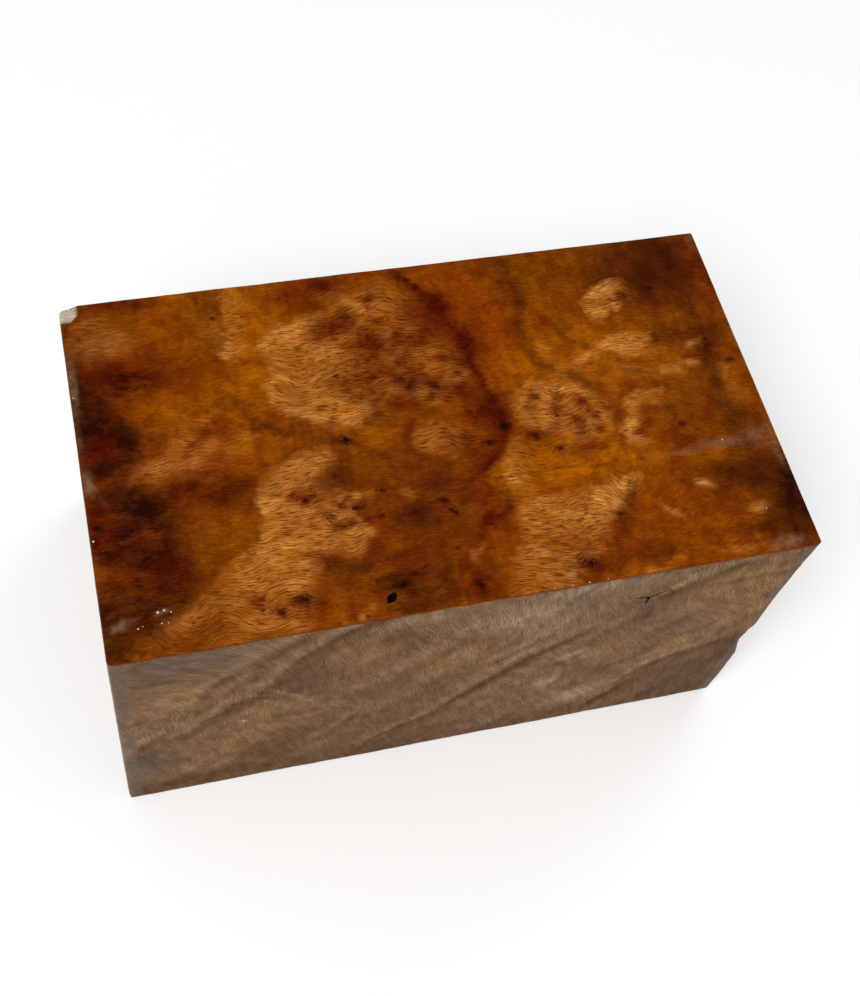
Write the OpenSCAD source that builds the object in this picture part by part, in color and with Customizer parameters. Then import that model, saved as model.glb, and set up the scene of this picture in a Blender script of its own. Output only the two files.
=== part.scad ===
/* [Blank] */
// Length of the blank, along the lathe's axis
length = 130; // [100:1:200]
// Width of the blank, across the figured face
width = 74; // [55:1:110]
// Height of the blank, from its base to the figured face
height = 72; // [50:1:100]

/* [Edges] */
// Radius of the crisp edges round the planed top
planed_edge_r = 0.5; // [0.3:0.1:1.5]
// Radius of the worn edges round the sawn base
base_edge_r = 1.1; // [0.5:0.1:2]
// Radius of the upright edges at the corners
upright_edge_r = 1.2; // [0.6:0.1:2.5]
// Radius of the base edge at the right end, which is knocked about most
knocked_edge_r = 2.2; // [1:0.1:4]

/* [Unplaned corner] */
// Length of the low corner that the plane missed
low_corner_x = 3.3; // [2:0.1:8]
// Width of the low corner
low_corner_y = 3.8; // [2:0.1:8]
// Radius of the low corner's inner outline
low_corner_r = 1.3; // [0.5:0.1:1.8]
// Depth of the low corner's step down at its inner corner
low_corner_step = 0.3; // [0.1:0.05:1]
// Fall of the low corner's floor, in degrees, both ways
low_corner_fall = 9; // [3:1:20]

/* [Drying check] */
// Distance from the right end to the point where the check's three arms meet
check_from_end = 31.2; // [15:0.1:60]
// Distance from the top down to that point
check_below_top = 11.3; // [6:0.1:30]
// Width of the check's arms where they meet
check_w = 0.5; // [0.3:0.05:1]
// Depth of the check where its arms meet
check_depth = 6; // [2:0.5:12]
// Length of the arm that runs towards the left end
check_left_arm = 3.6; // [2:0.1:10]
// Length of the arm that climbs towards the right end
check_right_arm = 4.5; // [2:0.1:10]
// Length of the arm that runs down
check_lower_arm = 3.4; // [2:0.1:8]

/* [Knot hole] */
// Distance from the left end to the mouth of the knot hole
knot_from_end = 49.2; // [20:0.1:80]
// Distance from the front face to the mouth of the knot hole
knot_from_front = 3.6; // [3:0.1:30]
// Radius of the knot hole's mouth
knot_r = 0.8; // [0.5:0.1:1.5]
// Distance that the mouth is stretched, along its longer way
knot_stretch = 0.9; // [0.4:0.1:1.5]
// Depth of the knot hole
knot_depth = 4; // [2:0.5:8]

/* [Bark pits] */
// Radius of the bark pit beside the dark band
band_pit_r = 0.55; // [0.3:0.05:1]
// Distance from the right end to that pit
band_pit_from_end = 52.1; // [30:0.1:80]
// Distance from the front face to that pit
band_pit_from_front = 34.2; // [20:0.1:50]
// Radius of the bark pit in the left half
left_pit_r = 0.5; // [0.3:0.05:1]
// Distance from the left end to that pit
left_pit_from_end = 48.1; // [20:0.1:80]
// Distance from the front face to that pit
left_pit_from_front = 36.1; // [20:0.1:50]

/* [Worn upright edge] */
// Length of the long shallow wear down the right front edge
wear_length = 46; // [20:1:60]
// Depth of that wear
wear_depth = 0.55; // [0.3:0.05:1]
// Height of its middle above the base
wear_z = 50; // [30:1:70]
// Length of the splinter knocked out of the same edge
splinter_length = 16.5; // [8:0.5:26]
// Depth of the splinter
splinter_depth = 1.2; // [0.5:0.1:2]
// Height of its middle above the base
splinter_z = 29; // [16:1:45]

/* [Hidden] */
$fn = 64;
left = -length / 2;
right = length / 2;
front = -width / 2;
back = width / 2;
top = height;
burl_brown = [0.52, 0.31, 0.14];
// How far a cutting shape stands proud of the surface that it cuts
proud = 2;
// Directions of the check's arms in the front face, in degrees from the way to the right end
check_left_angle = 166;
check_right_angle = 30;
check_lower_angle = 270;
// Direction of the knot hole's longer way, and the lean of its hollow towards the front
knot_angle = 41;
knot_lean = 12;
// Steps in the knot hole's depth, and the share of its width that is left at the bottom
knot_steps = 4;
knot_taper = 0.55;
// Share of a pit's radius that its centre lies below the top
pit_sink = 0.4;

// What a square corner has outside a round of radius r, with the corner at the origin
module corner_waste(r) {
    difference() {
        translate([-r, -r]) square([r + proud, r + proud]);
        translate([-r, -r]) circle(r);
        translate([-r - proud, -r - proud]) square([proud, r + 2 * proud]);
        translate([-r - proud, -r - proud]) square([r + 2 * proud, proud]);
    }
}

// Rectangle from low to high, its corners rounded by radii, from low left and anticlockwise
module eased_outline(low, high, radii) {
    places = [[low.x, low.y], [high.x, low.y], [high.x, high.y], [low.x, high.y]];
    difference() {
        translate(low) square(high - low);
        for (i = [0:3])
            translate(places[i]) rotate(90 * i + 180) corner_waste(radii[i]);
    }
}

// Sawn block with all twelve edges eased: what its three outlines have in common
module eased_block() {
    intersection() {
        translate([left, 0, 0]) rotate([90, 0, 90]) linear_extrude(length)
            eased_outline([front, 0], [back, top],
                [base_edge_r, base_edge_r, planed_edge_r, planed_edge_r]);
        translate([0, back, 0]) rotate([90, 0, 0]) linear_extrude(width)
            eased_outline([left, 0], [right, top],
                [base_edge_r, knocked_edge_r, planed_edge_r, planed_edge_r]);
        linear_extrude(height)
            eased_outline([left, front], [right, back],
                [upright_edge_r, upright_edge_r, upright_edge_r, upright_edge_r]);
    }
}

// Corner at the back left that lay too low for the plane, with a floor that falls outwards
module low_corner() {
    translate([left + low_corner_x, back - low_corner_y, top - low_corner_step])
        rotate([-low_corner_fall, -low_corner_fall, 0])
            translate([-low_corner_x - proud, 0, 0])
                linear_extrude(2 * proud)
                    eased_outline([0, 0],
                        [low_corner_x + proud, low_corner_y + proud],
                        [low_corner_r, low_corner_r, low_corner_r, low_corner_r]);
}

// One arm of the check: narrow and shallow at its tip, wide and deep where the arms meet
module check_arm(arm) {
    intersection() {
        // Seen from the front, a thin wedge
        rotate([90, 0, 0])
            translate([0, 0, -check_depth - proud])
                linear_extrude(check_depth + 2 * proud)
                    polygon([[0, -check_w / 2], [arm, 0], [0, check_w / 2],
                        [-check_w / 4, 0]]);
        // Seen from above, deepest at the meeting point
        translate([0, 0, -check_w])
            linear_extrude(2 * check_w)
                polygon([[-check_w, -proud], [arm, -proud], [arm, 0],
                    [0, check_depth], [-check_w, check_depth]]);
    }
}

// Three-armed check that opened in the front face as the wood dried
module drying_check() {
    arms = [[check_left_angle, check_left_arm], [check_right_angle, check_right_arm],
        [check_lower_angle, check_lower_arm]];
    translate([right - check_from_end, front, top - check_below_top])
        for (arm = arms)
            rotate([0, -arm[0], 0]) check_arm(arm[1]);
}

// Hollow left by a small dead knot: it narrows as it goes down
module knot_hole() {
    translate([left + knot_from_end, front + knot_from_front, top])
        rotate([-knot_lean, 0, knot_angle])
            for (i = [0:knot_steps - 1], side = [-1, 1]) {
                share = i / (knot_steps - 1);
                r = knot_r * (1 - (1 - knot_taper) * share);
                translate([side * knot_stretch / 2 * (1 - share), 0,
                    -share * (knot_depth - r)])
                    sphere(r);
            }
}

// Small round pit where a speck of bark has fallen out of the top
module bark_pit(x, y, r) {
    translate([x, y, top - pit_sink * r]) sphere(r);
}

// Hollow worn along the right front edge: a large ball that meets it from outside
module edge_wear(z, wear, depth) {
    ball_r = (wear * wear / 4 + depth * depth) / (2 * depth);
    reach = (ball_r - depth) / sqrt(2);
    edge_in = upright_edge_r * (1 - 1 / sqrt(2));
    translate([right - edge_in + reach, front + edge_in - reach, z]) sphere(ball_r, $fn = 200);
}

module blank() {
    color(burl_brown)
        difference() {
            eased_block();
            low_corner();
            drying_check();
            knot_hole();
            bark_pit(right - band_pit_from_end, front + band_pit_from_front, band_pit_r);
            bark_pit(left + left_pit_from_end, front + left_pit_from_front, left_pit_r);
            edge_wear(wear_z, wear_length, wear_depth);
            edge_wear(splinter_z, splinter_length, splinter_depth);
        }
}

blank();
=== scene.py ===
# Burl wood turning blank: one sawn block whose top has been planed and oiled.
# Places on the top are in millimetres from its centre, x to the right end and y to the back.
# Places on the front are in millimetres, x to the right end and z up from the base.
import itertools
import math

import bmesh
import bpy
import numpy as np
from mathutils import Matrix, Vector


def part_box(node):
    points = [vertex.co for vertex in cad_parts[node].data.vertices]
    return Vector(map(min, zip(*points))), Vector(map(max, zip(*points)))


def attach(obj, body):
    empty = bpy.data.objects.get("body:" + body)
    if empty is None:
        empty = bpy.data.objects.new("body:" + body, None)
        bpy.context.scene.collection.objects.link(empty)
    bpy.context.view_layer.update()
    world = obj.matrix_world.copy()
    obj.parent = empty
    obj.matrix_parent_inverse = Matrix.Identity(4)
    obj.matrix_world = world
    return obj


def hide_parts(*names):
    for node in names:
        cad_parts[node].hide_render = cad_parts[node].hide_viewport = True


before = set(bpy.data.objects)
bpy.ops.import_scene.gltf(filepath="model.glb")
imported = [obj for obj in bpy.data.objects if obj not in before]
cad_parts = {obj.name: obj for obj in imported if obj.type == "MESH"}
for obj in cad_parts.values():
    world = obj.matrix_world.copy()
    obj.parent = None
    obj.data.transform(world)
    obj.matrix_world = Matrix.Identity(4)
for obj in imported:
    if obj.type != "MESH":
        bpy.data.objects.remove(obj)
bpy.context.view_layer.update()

MM = 0.001
LOW, HIGH = (np.array(corner, float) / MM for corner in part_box("blank"))
WIDTH, HEIGHT = (HIGH - LOW)[1:]

# Camera of the photograph: where it stands, what it looks at, and its roll and lens
CAMERA_AT = (-61.4, -129.6, 293.6)
CAMERA_LOOKS_AT = (2.4, 18.6, 36.0)
CAMERA_ROLL = 11.85
CAMERA_LENS = 51.18
CAMERA_SHIFT = (0.0273, -0.0606)

# Edges, as radii
PLANED_EDGE_R = 0.5
BASE_EDGE_R = 1.1
UPRIGHT_EDGE_R = 1.2
KNOCKED_EDGE_R = 2.2

# Spacing of the mesh along each axis, and the lines that are added beside each edge
GRID_STEP = (0.56, 0.56, 0.8)
EDGE_LINES = (0.15, 0.35, 0.6, 0.95, 1.4, 2.0)

# Each point of the mesh stays this far inside the CAD's box
KEPT_INSIDE = 0.005

# Drying check: where its arms meet in the front, then the direction and length of each arm
CHECK_AT = (33.8, 60.7)
CHECK_ARMS = ((166, 3.6), (30, 4.5), (270, 3.4))
CHECK_WIDTH = 0.5
CHECK_DEPTH = 6

# Knot hole: its place on the top, the direction of its longer way, how far it leans for each
# millimetre of depth, then its rings: depth, half length, half width
KNOT_AT = (-15.8, -33.4)
KNOT_TURN = 41
KNOT_LEAN = (-0.12, 0.2)
KNOT_RINGS = ((-0.6, 1.3, 0.85), (0, 1.18, 0.74), (0.5, 1.05, 0.66), (1.4, 0.9, 0.6),
              (2.6, 0.7, 0.5), (4, 0.25, 0.2))

# Bark pits in the top: x, y, radius, then the depths of their rings, with shares of the radius
PITS = ((12.9, -2.8, 0.55), (-16.9, -0.9, 0.5))
PIT_RINGS = ((-0.3, 1), (0.05, 0.95), (0.35, 0.7), (0.6, 0.25))

# Wear and splinter of the right front edge: height of the middle, length, depth
WEARS = ((50, 46, 0.55), (29, 16.5, 1.2))

# Low corner that the plane missed: its size in x and y, the radius of its inner outline, the
# step down to it, the fall of its floor in degrees, and the depths between which it is waxed
CORNER_SIZE = (3.3, 3.8)
CORNER_R = 1.3
CORNER_STEP = 0.3
CORNER_FALL = 9
CORNER_WAX = (0.15, 1.8)

# Distances over which the film of wax beside an end fades out, and the oil below the top
WAX_FADE = (2.4, 4.0)
OIL_FADE = (0.2, 0.9)

# Sides of the block, as side_of_points numbers them
LEFT, RIGHT, FRONT, BACK, BASE, TOP = range(6)

# Distance into a pale patch that a point has where there is none
NO_PATCH = -9.0

# Colours as sRGB, from 0 to 255
PALETTE = {
    "amber": (122, 57, 1), "orange": (124, 49, 1), "gold": (148, 77, 2), "honey": (156, 87, 20),
    "tan": (189, 122, 52), "rust": (96, 32, 1), "ember": (66, 9, 1), "umber": (73, 28, 2),
    "olive": (98, 50, 2), "brown": (98, 43, 2), "bark": (46, 11, 2), "char": (24, 4, 2),
    # The smear colour is partly painted sheen on the wax
    # The speck colour is near-white: painted glints on bits of wax
    "red": (88, 17, 2), "smear_and_sheen": (132, 98, 70), "speck": (196, 184, 172), "wax": (172, 156, 136),
    "dry": (114, 86, 61), "dry_tan": (127, 93, 61), "dry_light": (150, 119, 84),
    "dry_grey": (100, 80, 68), "dry_dark": (84, 54, 30), "plum": (88, 63, 48),
    "slate": (82, 70, 63), "peach": (180, 106, 46), "pale": (160, 134, 108), "film": (80, 66, 57),
}

# Broad colour of the top, under its pale patches: colour, x, y, half length, half width,
# turn in degrees, strength
TOP_WASHES = (
    ("brown", -12, -12, 16, 12, 0, 0.8), ("umber", 53, 30, 15, 11, 0, 0.85),
    ("orange", 14.6, 22, 8, 15, 0, 0.9), ("brown", 22, 31, 5, 6, 0, 0.5),
    ("olive", 30, 33, 12, 6, 0, 0.6), ("rust", -62, 12, 8, 24, 0, 0.6),
    ("gold", 38, 11, 12, 6, 0, 0.85), ("gold", 20, 8, 6, 6, 0, 0.6), ("gold", 36, -9, 6, 9, 0, 0.5),
    ("gold", 28, 6, 5, 3, 0, 0.5), ("rust", 42, -28, 14, 9, 0, 0.35),
    ("umber", 62, -8, 4, 28, 0, 0.3), ("rust", 2, 20, 14, 18, 0, 0.4),
    ("gold", -32, 21, 6, 14, -10, 0.8), ("gold", -47, -2, 7, 3, 0, 0.3),
    ("umber", -60, 34, 6, 3, 0, 0.3), ("gold", -36, 0, 8, 4, 10, 0.25),
    ("rust", -43, -8, 10, 5, 0, 0.5), ("rust", -4, -24, 14, 11, 0, 0.45),
    ("umber", -8, -30, 9, 3.4, 0, 0.5), ("umber", 51, -2, 5, 4, 0, 0.3),
    ("olive", -38, 33, 4, 6, 0, 0.7), ("gold", -47, 10, 6, 4, 0, 0.15),
    ("rust", -43, 18, 8, 4.5, 0, 0.6), ("orange", 9.5, -24, 3.4, 4, -60, 0.85),
    ("gold", 25, -14, 13, 4, 0, 0.85), ("gold", 12, -14, 3.6, 5, 0, 0.8),
    ("orange", 40, -24, 9, 5, -30, 0.5), ("umber", 55, -20, 9, 5, 0, 0.7),
    ("gold", 47, 5, 8, 4, 0, 0.4), ("brown", 50, -3, 8, 10, 0, 0.4),
    ("amber", -43, -14, 6, 3, 0, 0.5), ("olive", -41, -18, 5, 2, 0, 0.5),
    ("gold", -30, 28, 5, 5, 0, 0.5), ("rust", -17, 34, 9, 3.5, 10, 0.7),
    ("brown", -58, 30, 6, 6, 0, 0.3),
)

# Clouds over the patches, in the same form
TOP_CLOUDS = (
    ("umber", -36, 27, 2, 6, -20, 0.5), ("ember", -53, 36, 6, 2, 0, 0.8),
    ("gold", -44, 36, 2, 2, 0, 0.6), ("rust", -54, 21, 8, 4, -10, 0.6),
    ("ember", -54, 18.5, 6, 3.4, -10, 0.85), ("rust", -49, 24.5, 3, 2, 0, 0.5),
    ("gold", -50, 11.5, 4, 2, -20, 0.3), ("bark", -61, 9, 5, 9, 0, 0.93),
    ("char", -56.2, 3.5, 2.8, 6, 0, 0.9), ("ember", -61, 4.5, 4, 3.2, 0, 0.9),
    ("red", -61, 3.6, 2.8, 1.8, 0, 0.7), ("char", -62, -0.4, 3, 2, 0, 0.9),
    ("rust", -52, 3, 3, 4, 0, 0.4), ("char", -63.6, 18, 1.8, 9, 0, 0.85),
    ("ember", -60, 22, 3, 6, 0, 0.4), ("rust", -38.5, 4.5, 3, 2, -20, 0.6),
    ("brown", -29, 4, 6, 4, 0, 0.25), ("rust", -33, 4.2, 1.8, 1.3, 0, 0.7),
    ("honey", -34.5, 2.6, 2, 1, 10, 0.5), ("umber", -35, 10, 3.5, 2.5, 0, 0.5),
    ("ember", -15, 34.4, 2.4, 1.6, 0, 0.75), ("rust", -20, 33, 4, 1.8, 20, 0.5),
    ("rust", -5.4, 6.6, 4, 2, 0, 0.5), ("rust", -3, 12.4, 4, 3, 0, 0.5),
    ("rust", -14.6, 23.8, 4.8, 2.7, 12, 0.95), ("ember", -12.4, 25.4, 2.4, 1.8, 40, 0.65),
    ("umber", -11, 27.6, 1.8, 1.8, 30, 0.5), ("rust", 3.4, 25.4, 4, 3, 0, 0.6),
    ("honey", 3.6, 12.6, 3, 2, 10, 0.45), ("tan", -8, 29, 5, 1.4, -20, 0.3),
    ("tan", -21, 25.4, 4, 1, 20, 0.4), ("ember", 3.4, 26, 3.4, 2.4, 0, 0.35),
    ("ember", 7.2, 26.8, 2.4, 3.6, 15, 0.85), ("ember", 10.4, 16.8, 2.8, 3.2, 0, 0.9),
    ("ember", 12.9, 0, 1.8, 4, 0, 0.8), ("rust", 5.4, 21.4, 3, 3, 0, 0.45),
    ("honey", 3, 15.4, 4, 1.8, 20, 0.35), ("ember", -7.5, 19.6, 2, 2.7, 0, 0.92),
    ("rust", -8.5, 18, 3, 3.8, 10, 0.85), ("ember", -2.5, 19.6, 2.4, 1.5, 0, 0.85),
    ("rust", 1.5, 18.8, 4, 2.2, 10, 0.85), ("rust", -12, 11.6, 4, 2, 0, 0.75),
    ("brown", -12, 14, 6, 4, 30, 0.6), ("brown", -20, 12.4, 2.6, 1.6, 0, 0.35),
    ("rust", -7, 12.5, 3.4, 2.2, 0, 0.7), ("ember", -3, 10, 2.7, 2, -40, 0.95),
    ("rust", -3, 13.6, 4, 1.6, 0, 0.5), ("ember", 1.8, 8.4, 3, 1.7, -40, 0.88),
    ("rust", 6, 6.6, 4.6, 1.9, 0, 0.7), ("red", 6.6, 6.2, 2.6, 1.4, 0, 0.75),
    ("umber", -5, 5.6, 2.4, 1.6, 0, 0.7), ("brown", -14.5, 8.4, 2.6, 1.8, 10, 0.5),
    ("brown", -10, 8, 3.4, 2.4, 0, 0.6), ("rust", -9.8, 5, 2, 1.6, 0, 0.7),
    ("olive", -10, 2.4, 3.4, 2, 0, 0.6), ("olive", -24.5, 10, 2, 1.4, 0, 0.4),
    ("rust", 9, 0.4, 4, 3.4, 0, 0.85), ("ember", 9.4, 0.6, 3, 2.4, 0, 0.6),
    ("rust", 8, 14, 2, 2.6, 0, 0.6), ("rust", 7, -6, 5, 2.6, 0, 0.85),
    ("ember", 9.2, -5.8, 1.9, 1, -10, 0.8), ("rust", 4, -4.4, 2.6, 1, -20, 0.7),
    ("umber", -20, -8, 3.5, 3, 20, 0.7), ("rust", -12, -12.3, 2.6, 0.9, 0, 0.7),
    ("honey", -8, -13.2, 1.5, 1.2, 0, 0.75), ("honey", -15.2, -12.1, 1.3, 0.9, 0, 0.5),
    ("bark", -8, -18.6, 3.4, 2.6, -15, 0.92), ("gold", -9, -23, 5, 1.6, 0, 0.3),
    ("gold", -12, -1, 4, 2.6, 0, 0.4), ("rust", -14.5, -17.6, 3.6, 1.5, 0, 0.7),
    ("umber", -3, -14, 4, 3.5, 0, 0.6), ("umber", 6, -17, 5, 3, 0, 0.5),
    ("umber", -11, -31, 6, 2.6, 0, 0.6), ("bark", -14, -31.2, 3.4, 1.7, 0, 0.7),
    ("bark", -10, -35.5, 9, 2, 0, 0.65), ("umber", -5, -22.6, 9, 3.4, 0, 0.5),
    ("rust", -13, -26, 5, 4, 0, 0.4), ("ember", 0.4, -33.6, 2, 2.6, 30, 0.9),
    ("ember", 21.6, -33.4, 4.6, 2, -8, 0.9), ("rust", 20, -30.6, 4, 1, -20, 0.4),
    ("rust", 17, -35.6, 4, 1.2, -8, 0.5), ("ember", 18.5, -6, 2.4, 1.2, -12, 0.85),
    ("umber", 22, -9.2, 2, 1, 0, 0.7), ("rust", 24.4, -2, 2.4, 1, -20, 0.55),
    ("rust", 28, 0.8, 2.4, 1, -10, 0.55), ("rust", 27, -5, 2.2, 0.9, 0, 0.55),
    ("rust", 31, -1.8, 1.8, 1.2, 20, 0.5), ("rust", 31, -9.4, 3, 1.3, 0, 0.5),
    ("honey", 26, -7.6, 3, 1.1, 25, 0.6), ("honey", 33.3, -3.7, 1, 0.7, 0, 0.6),
    ("umber", 35, -4.6, 1.6, 1.4, 0, 0.7), ("rust", 45.2, 22.8, 1.4, 2.3, 14, 0.9),
    ("rust", 42.6, 22.6, 1.6, 0.8, 0, 0.7), ("bark", 51, 24, 3, 4.5, 0, 0.4),
    ("bark", 55.6, 30, 9, 7, 0, 0.5), ("umber", 45, 31, 3, 4, 0, 0.4),
    ("umber", 52, 12.4, 5, 3, 0, 0.75), ("bark", 58.3, 7.5, 2, 4, -10, 0.7),
    ("tan", 53.8, 5.8, 1.9, 0.7, -15, 0.6), ("tan", 55.6, 10, 1.8, 0.6, 15, 0.5),
    ("tan", 49, 4.6, 2.2, 1.1, -10, 0.4), ("honey", 25.6, 13.6, 1.2, 2.4, 10, 0.7),
    ("tan", 33, 9.8, 2.8, 0.8, 25, 0.5), ("tan", 41, 6.6, 2.4, 0.6, -20, 0.4),
    ("honey", 47, 9.4, 3, 1, 10, 0.5), ("rust", 54, 7.4, 2, 0.8, 0, 0.7),
    ("bark", 61.5, 4.9, 0.9, 0.7, 0, 0.8), ("honey", 60.6, 3.6, 1.6, 0.6, -20, 0.4),
    ("bark", 61, 12, 3, 3, 0, 0.4), ("tan", -58, 27, 5, 2.6, 10, 0.3),
    ("rust", 62.5, 25, 2.5, 9, 0, 0.5), ("honey", 25.3, 13.4, 0.8, 1.4, 0, 0.7),
    ("gold", 28, 15, 3, 1.2, 20, 0.6), ("rust", 40.5, -7, 2.3, 1.3, 30, 0.8),
    ("rust", 42.6, -9.6, 2.2, 1, 0, 0.8), ("ember", 47.1, -7.7, 1.2, 1, 0, 0.8),
    ("umber", 47, -12, 5, 2.4, 0, 0.4), ("rust", 44, -16.4, 3.5, 1.4, -20, 0.6),
    ("tan", 46.9, -21, 2, 0.7, -30, 0.7), ("tan", 39, -25.6, 2.2, 0.7, -38, 0.7),
    ("rust", 37.4, -25.4, 1.8, 0.8, -30, 0.5), ("tan", 55.2, -27.7, 1.7, 1, 0, 0.7),
    ("honey", 60.4, -1, 2.4, 4, 0, 0.5), ("olive", 42.5, -26, 1.8, 4, -10, 0.5),
    ("umber", 33, -33, 6, 2.2, -10, 0.6), ("gold", 36.5, -35.6, 2, 0.9, 20, 0.8),
    ("honey", 49.5, -35.6, 3, 0.8, -8, 0.8), ("honey", 31, -36.6, 2.4, 0.6, 0, 0.6),
    ("rust", 29.3, -24.5, 1.2, 0.9, 0, 0.8), ("rust", 27.5, -28, 2.6, 1.3, 10, 0.85),
    ("rust", 31, -31, 4, 1.6, 0, 0.5), ("brown", 19, -29, 6, 3.4, -20, 0.35),
    ("char", 63.6, -26, 3.2, 8, 0, 0.95), ("bark", 60, -31, 5, 7, 0, 0.75),
    ("bark", 57, -19.6, 7, 4, 0, 0.6), ("umber", 60, -9, 4, 4, 0, 0.4),
    ("umber", 49, -8, 6, 4, 0, 0.35), ("orange", 20, -29, 5, 4, -20, 0.35),
    ("peach", -27, -14, 5, 7, 20, 0.3), ("peach", -34, -27, 6, 4, 20, 0.2),
    ("rust", -28, -31.6, 4, 2.6, 0, 0.4), ("umber", 52, -31.5, 5, 1.2, -4, 0.7),
    ("amber", 62.4, -3, 2.2, 4, 0, 0.6), ("char", -54.6, -8.6, 4, 2.6, -15, 0.9),
    ("char", -57.5, -13, 4.8, 6, 0, 0.96), ("bark", -56, -15, 7.5, 10, 0, 0.95),
    ("bark", -54, -24, 5.5, 3.6, 0, 0.75), ("char", -52.8, -20.5, 3, 2.6, 0, 0.9),
    ("char", -60, -5.2, 4.4, 1.8, 0, 0.85), ("ember", -62.8, -10.5, 2.4, 6, 0, 0.85),
    ("rust", -55, -14.6, 2.4, 1.6, 0, 0.4), ("ember", -62.5, -16, 2, 3, 0, 0.7),
    ("rust", -60.5, -21.6, 2.8, 1.7, 20, 0.8), ("bark", -60, -28.6, 7.4, 5, 0, 0.88),
    ("umber", -60, -25.6, 4, 1.4, -10, 0.5), ("umber", -52, -23.6, 6, 4.4, 30, 0.85),
    ("bark", -53, -25, 5, 4, 0, 0.5), ("bark", -61, -29, 6, 6, 0, 0.6),
    ("ember", -52, -22, 5, 4, 20, 0.5), ("peach", -51, -31.4, 4, 1.4, 20, 0.4),
    ("char", -61, 6, 4, 3, 0, 0.4), ("rust", -55, -2, 6, 2.6, 0, 0.4),
    ("honey", -32.6, 29, 1.6, 8, 0, 0.55), ("honey", 28, 7.4, 3.4, 1.8, 10, 0.6),
    ("peach", 27, -1, 7, 5, 0, 0.2), ("orange", 27.4, -1.6, 5, 3.4, -14, 0.25),
    ("rust", 28, -11, 4, 2, 0, 0.35), ("honey", 43, 4.6, 4, 1.6, -10, 0.4),
    ("gold", 52, -15.6, 4, 1.6, 0, 0.5), ("rust", -53, 12, 4, 3, 0, 0.5),
    ("peach", -44, 0.6, 5, 4, 0, 0.25), ("honey", 13, -22, 3.6, 3.4, 0, 0.55),
    ("honey", 43.4, -1.4, 3.4, 1.6, 0, 0.3), ("honey", -36, 26.4, 2.4, 3.4, 0, 0.35),
    ("peach", -51, -1.4, 4, 1.8, 0, 0.3), ("rust", -29, -17, 4, 3, 0, 0.15),
    ("rust", -60, 27, 4, 4, 0, 0.25), ("gold", 21, -9, 4, 2.4, 0, 0.4),
    ("umber", -41, -8.4, 6.4, 3, 0, 0.75), ("ember", -41.6, -8, 5, 2, 0, 0.35),
    ("rust", -41.6, -2, 2.4, 1.8, 0, 0.7), ("ember", -47.3, -6, 3, 1.9, 0, 0.75),
    ("char", -63.6, -35, 3.4, 3, 40, 0.8), ("umber", -50, -35, 9, 3, 20, 0.35),
    ("rust", -27, -11.2, 3, 1.7, 0, 0.85), ("rust", -30, -33.5, 3, 2.4, -20, 0.8),
    ("ember", -31, -31, 2, 1.1, -10, 0.85), ("rust", -36, -32.2, 2.2, 1.1, 0, 0.55),
    ("rust", -39.4, -29, 3, 1.4, -20, 0.35), ("umber", -24, -27, 3.5, 3.5, 0, 0.6),
    ("rust", -19.5, -14.6, 2.6, 1.8, 0, 0.5), ("rust", -21, -18, 1.8, 1, 0, 0.6),
    ("umber", -21.5, -8.6, 2.4, 2.2, 20, 0.5),
)

# Red-brown spots of the top: x, y, radius
TOP_SPOTS = (
    (-24, -15.5, 1.3), (-21, -14, 1.4), (-19.3, -12.5, 1), (-17.8, -15, 0.9), (-22.5, -18.5, 1.6),
    (-19.5, -17.8, 1.2), (-16.5, -17.3, 1.2), (-14, -17, 1), (-26.8, -11.8, 1.5), (-28.6, -10.6, 1),
    (-24.2, -12.2, 0.9), (-13.5, -13, 0.9), (20.5, 2.5, 1.4), (23.8, -0.5, 1.7), (27, -3.6, 1.5),
    (25, 1.8, 1.2), (29, 0, 1.6), (30.5, -3, 1.3), (22.8, -4.6, 1.2), (27.5, -6.6, 1.4),
    (31, -6.2, 1.1), (33.8, -1.8, 1.1), (18.8, 0.6, 1), (-47, 4.5, 1.1), (-44.5, 2.6, 1.3),
    (-42, 4.6, 1.1), (-45.8, 0.6, 1), (-3.4, 14.5, 1.7), (-0.6, 11.6, 1.7), (3.6, 10.6, 1.6),
    (7, 10.2, 1.3), (4.8, 14.2, 1.5), (-2, 21.8, 1.6), (3.2, 20.6, 1.4), (-5.4, 24.5, 1.5),
    (-9, 22.3, 1.3), (-12.6, 19.3, 1.2), (7.6, 5.2, 1.3), (3.9, 4.9, 1.3), (0.4, 5.9, 1.2),
    (-38.4, -30.6, 1.2), (-34.4, -33.4, 1.2), (-27.4, -31.8, 1), (-20.4, 6.4, 1), (-16, 29.6, 1.6),
    (-6, 30.2, 1.4), (41.6, -3.6, 1.1), (38.4, -8.6, 1.1),
)

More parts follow.
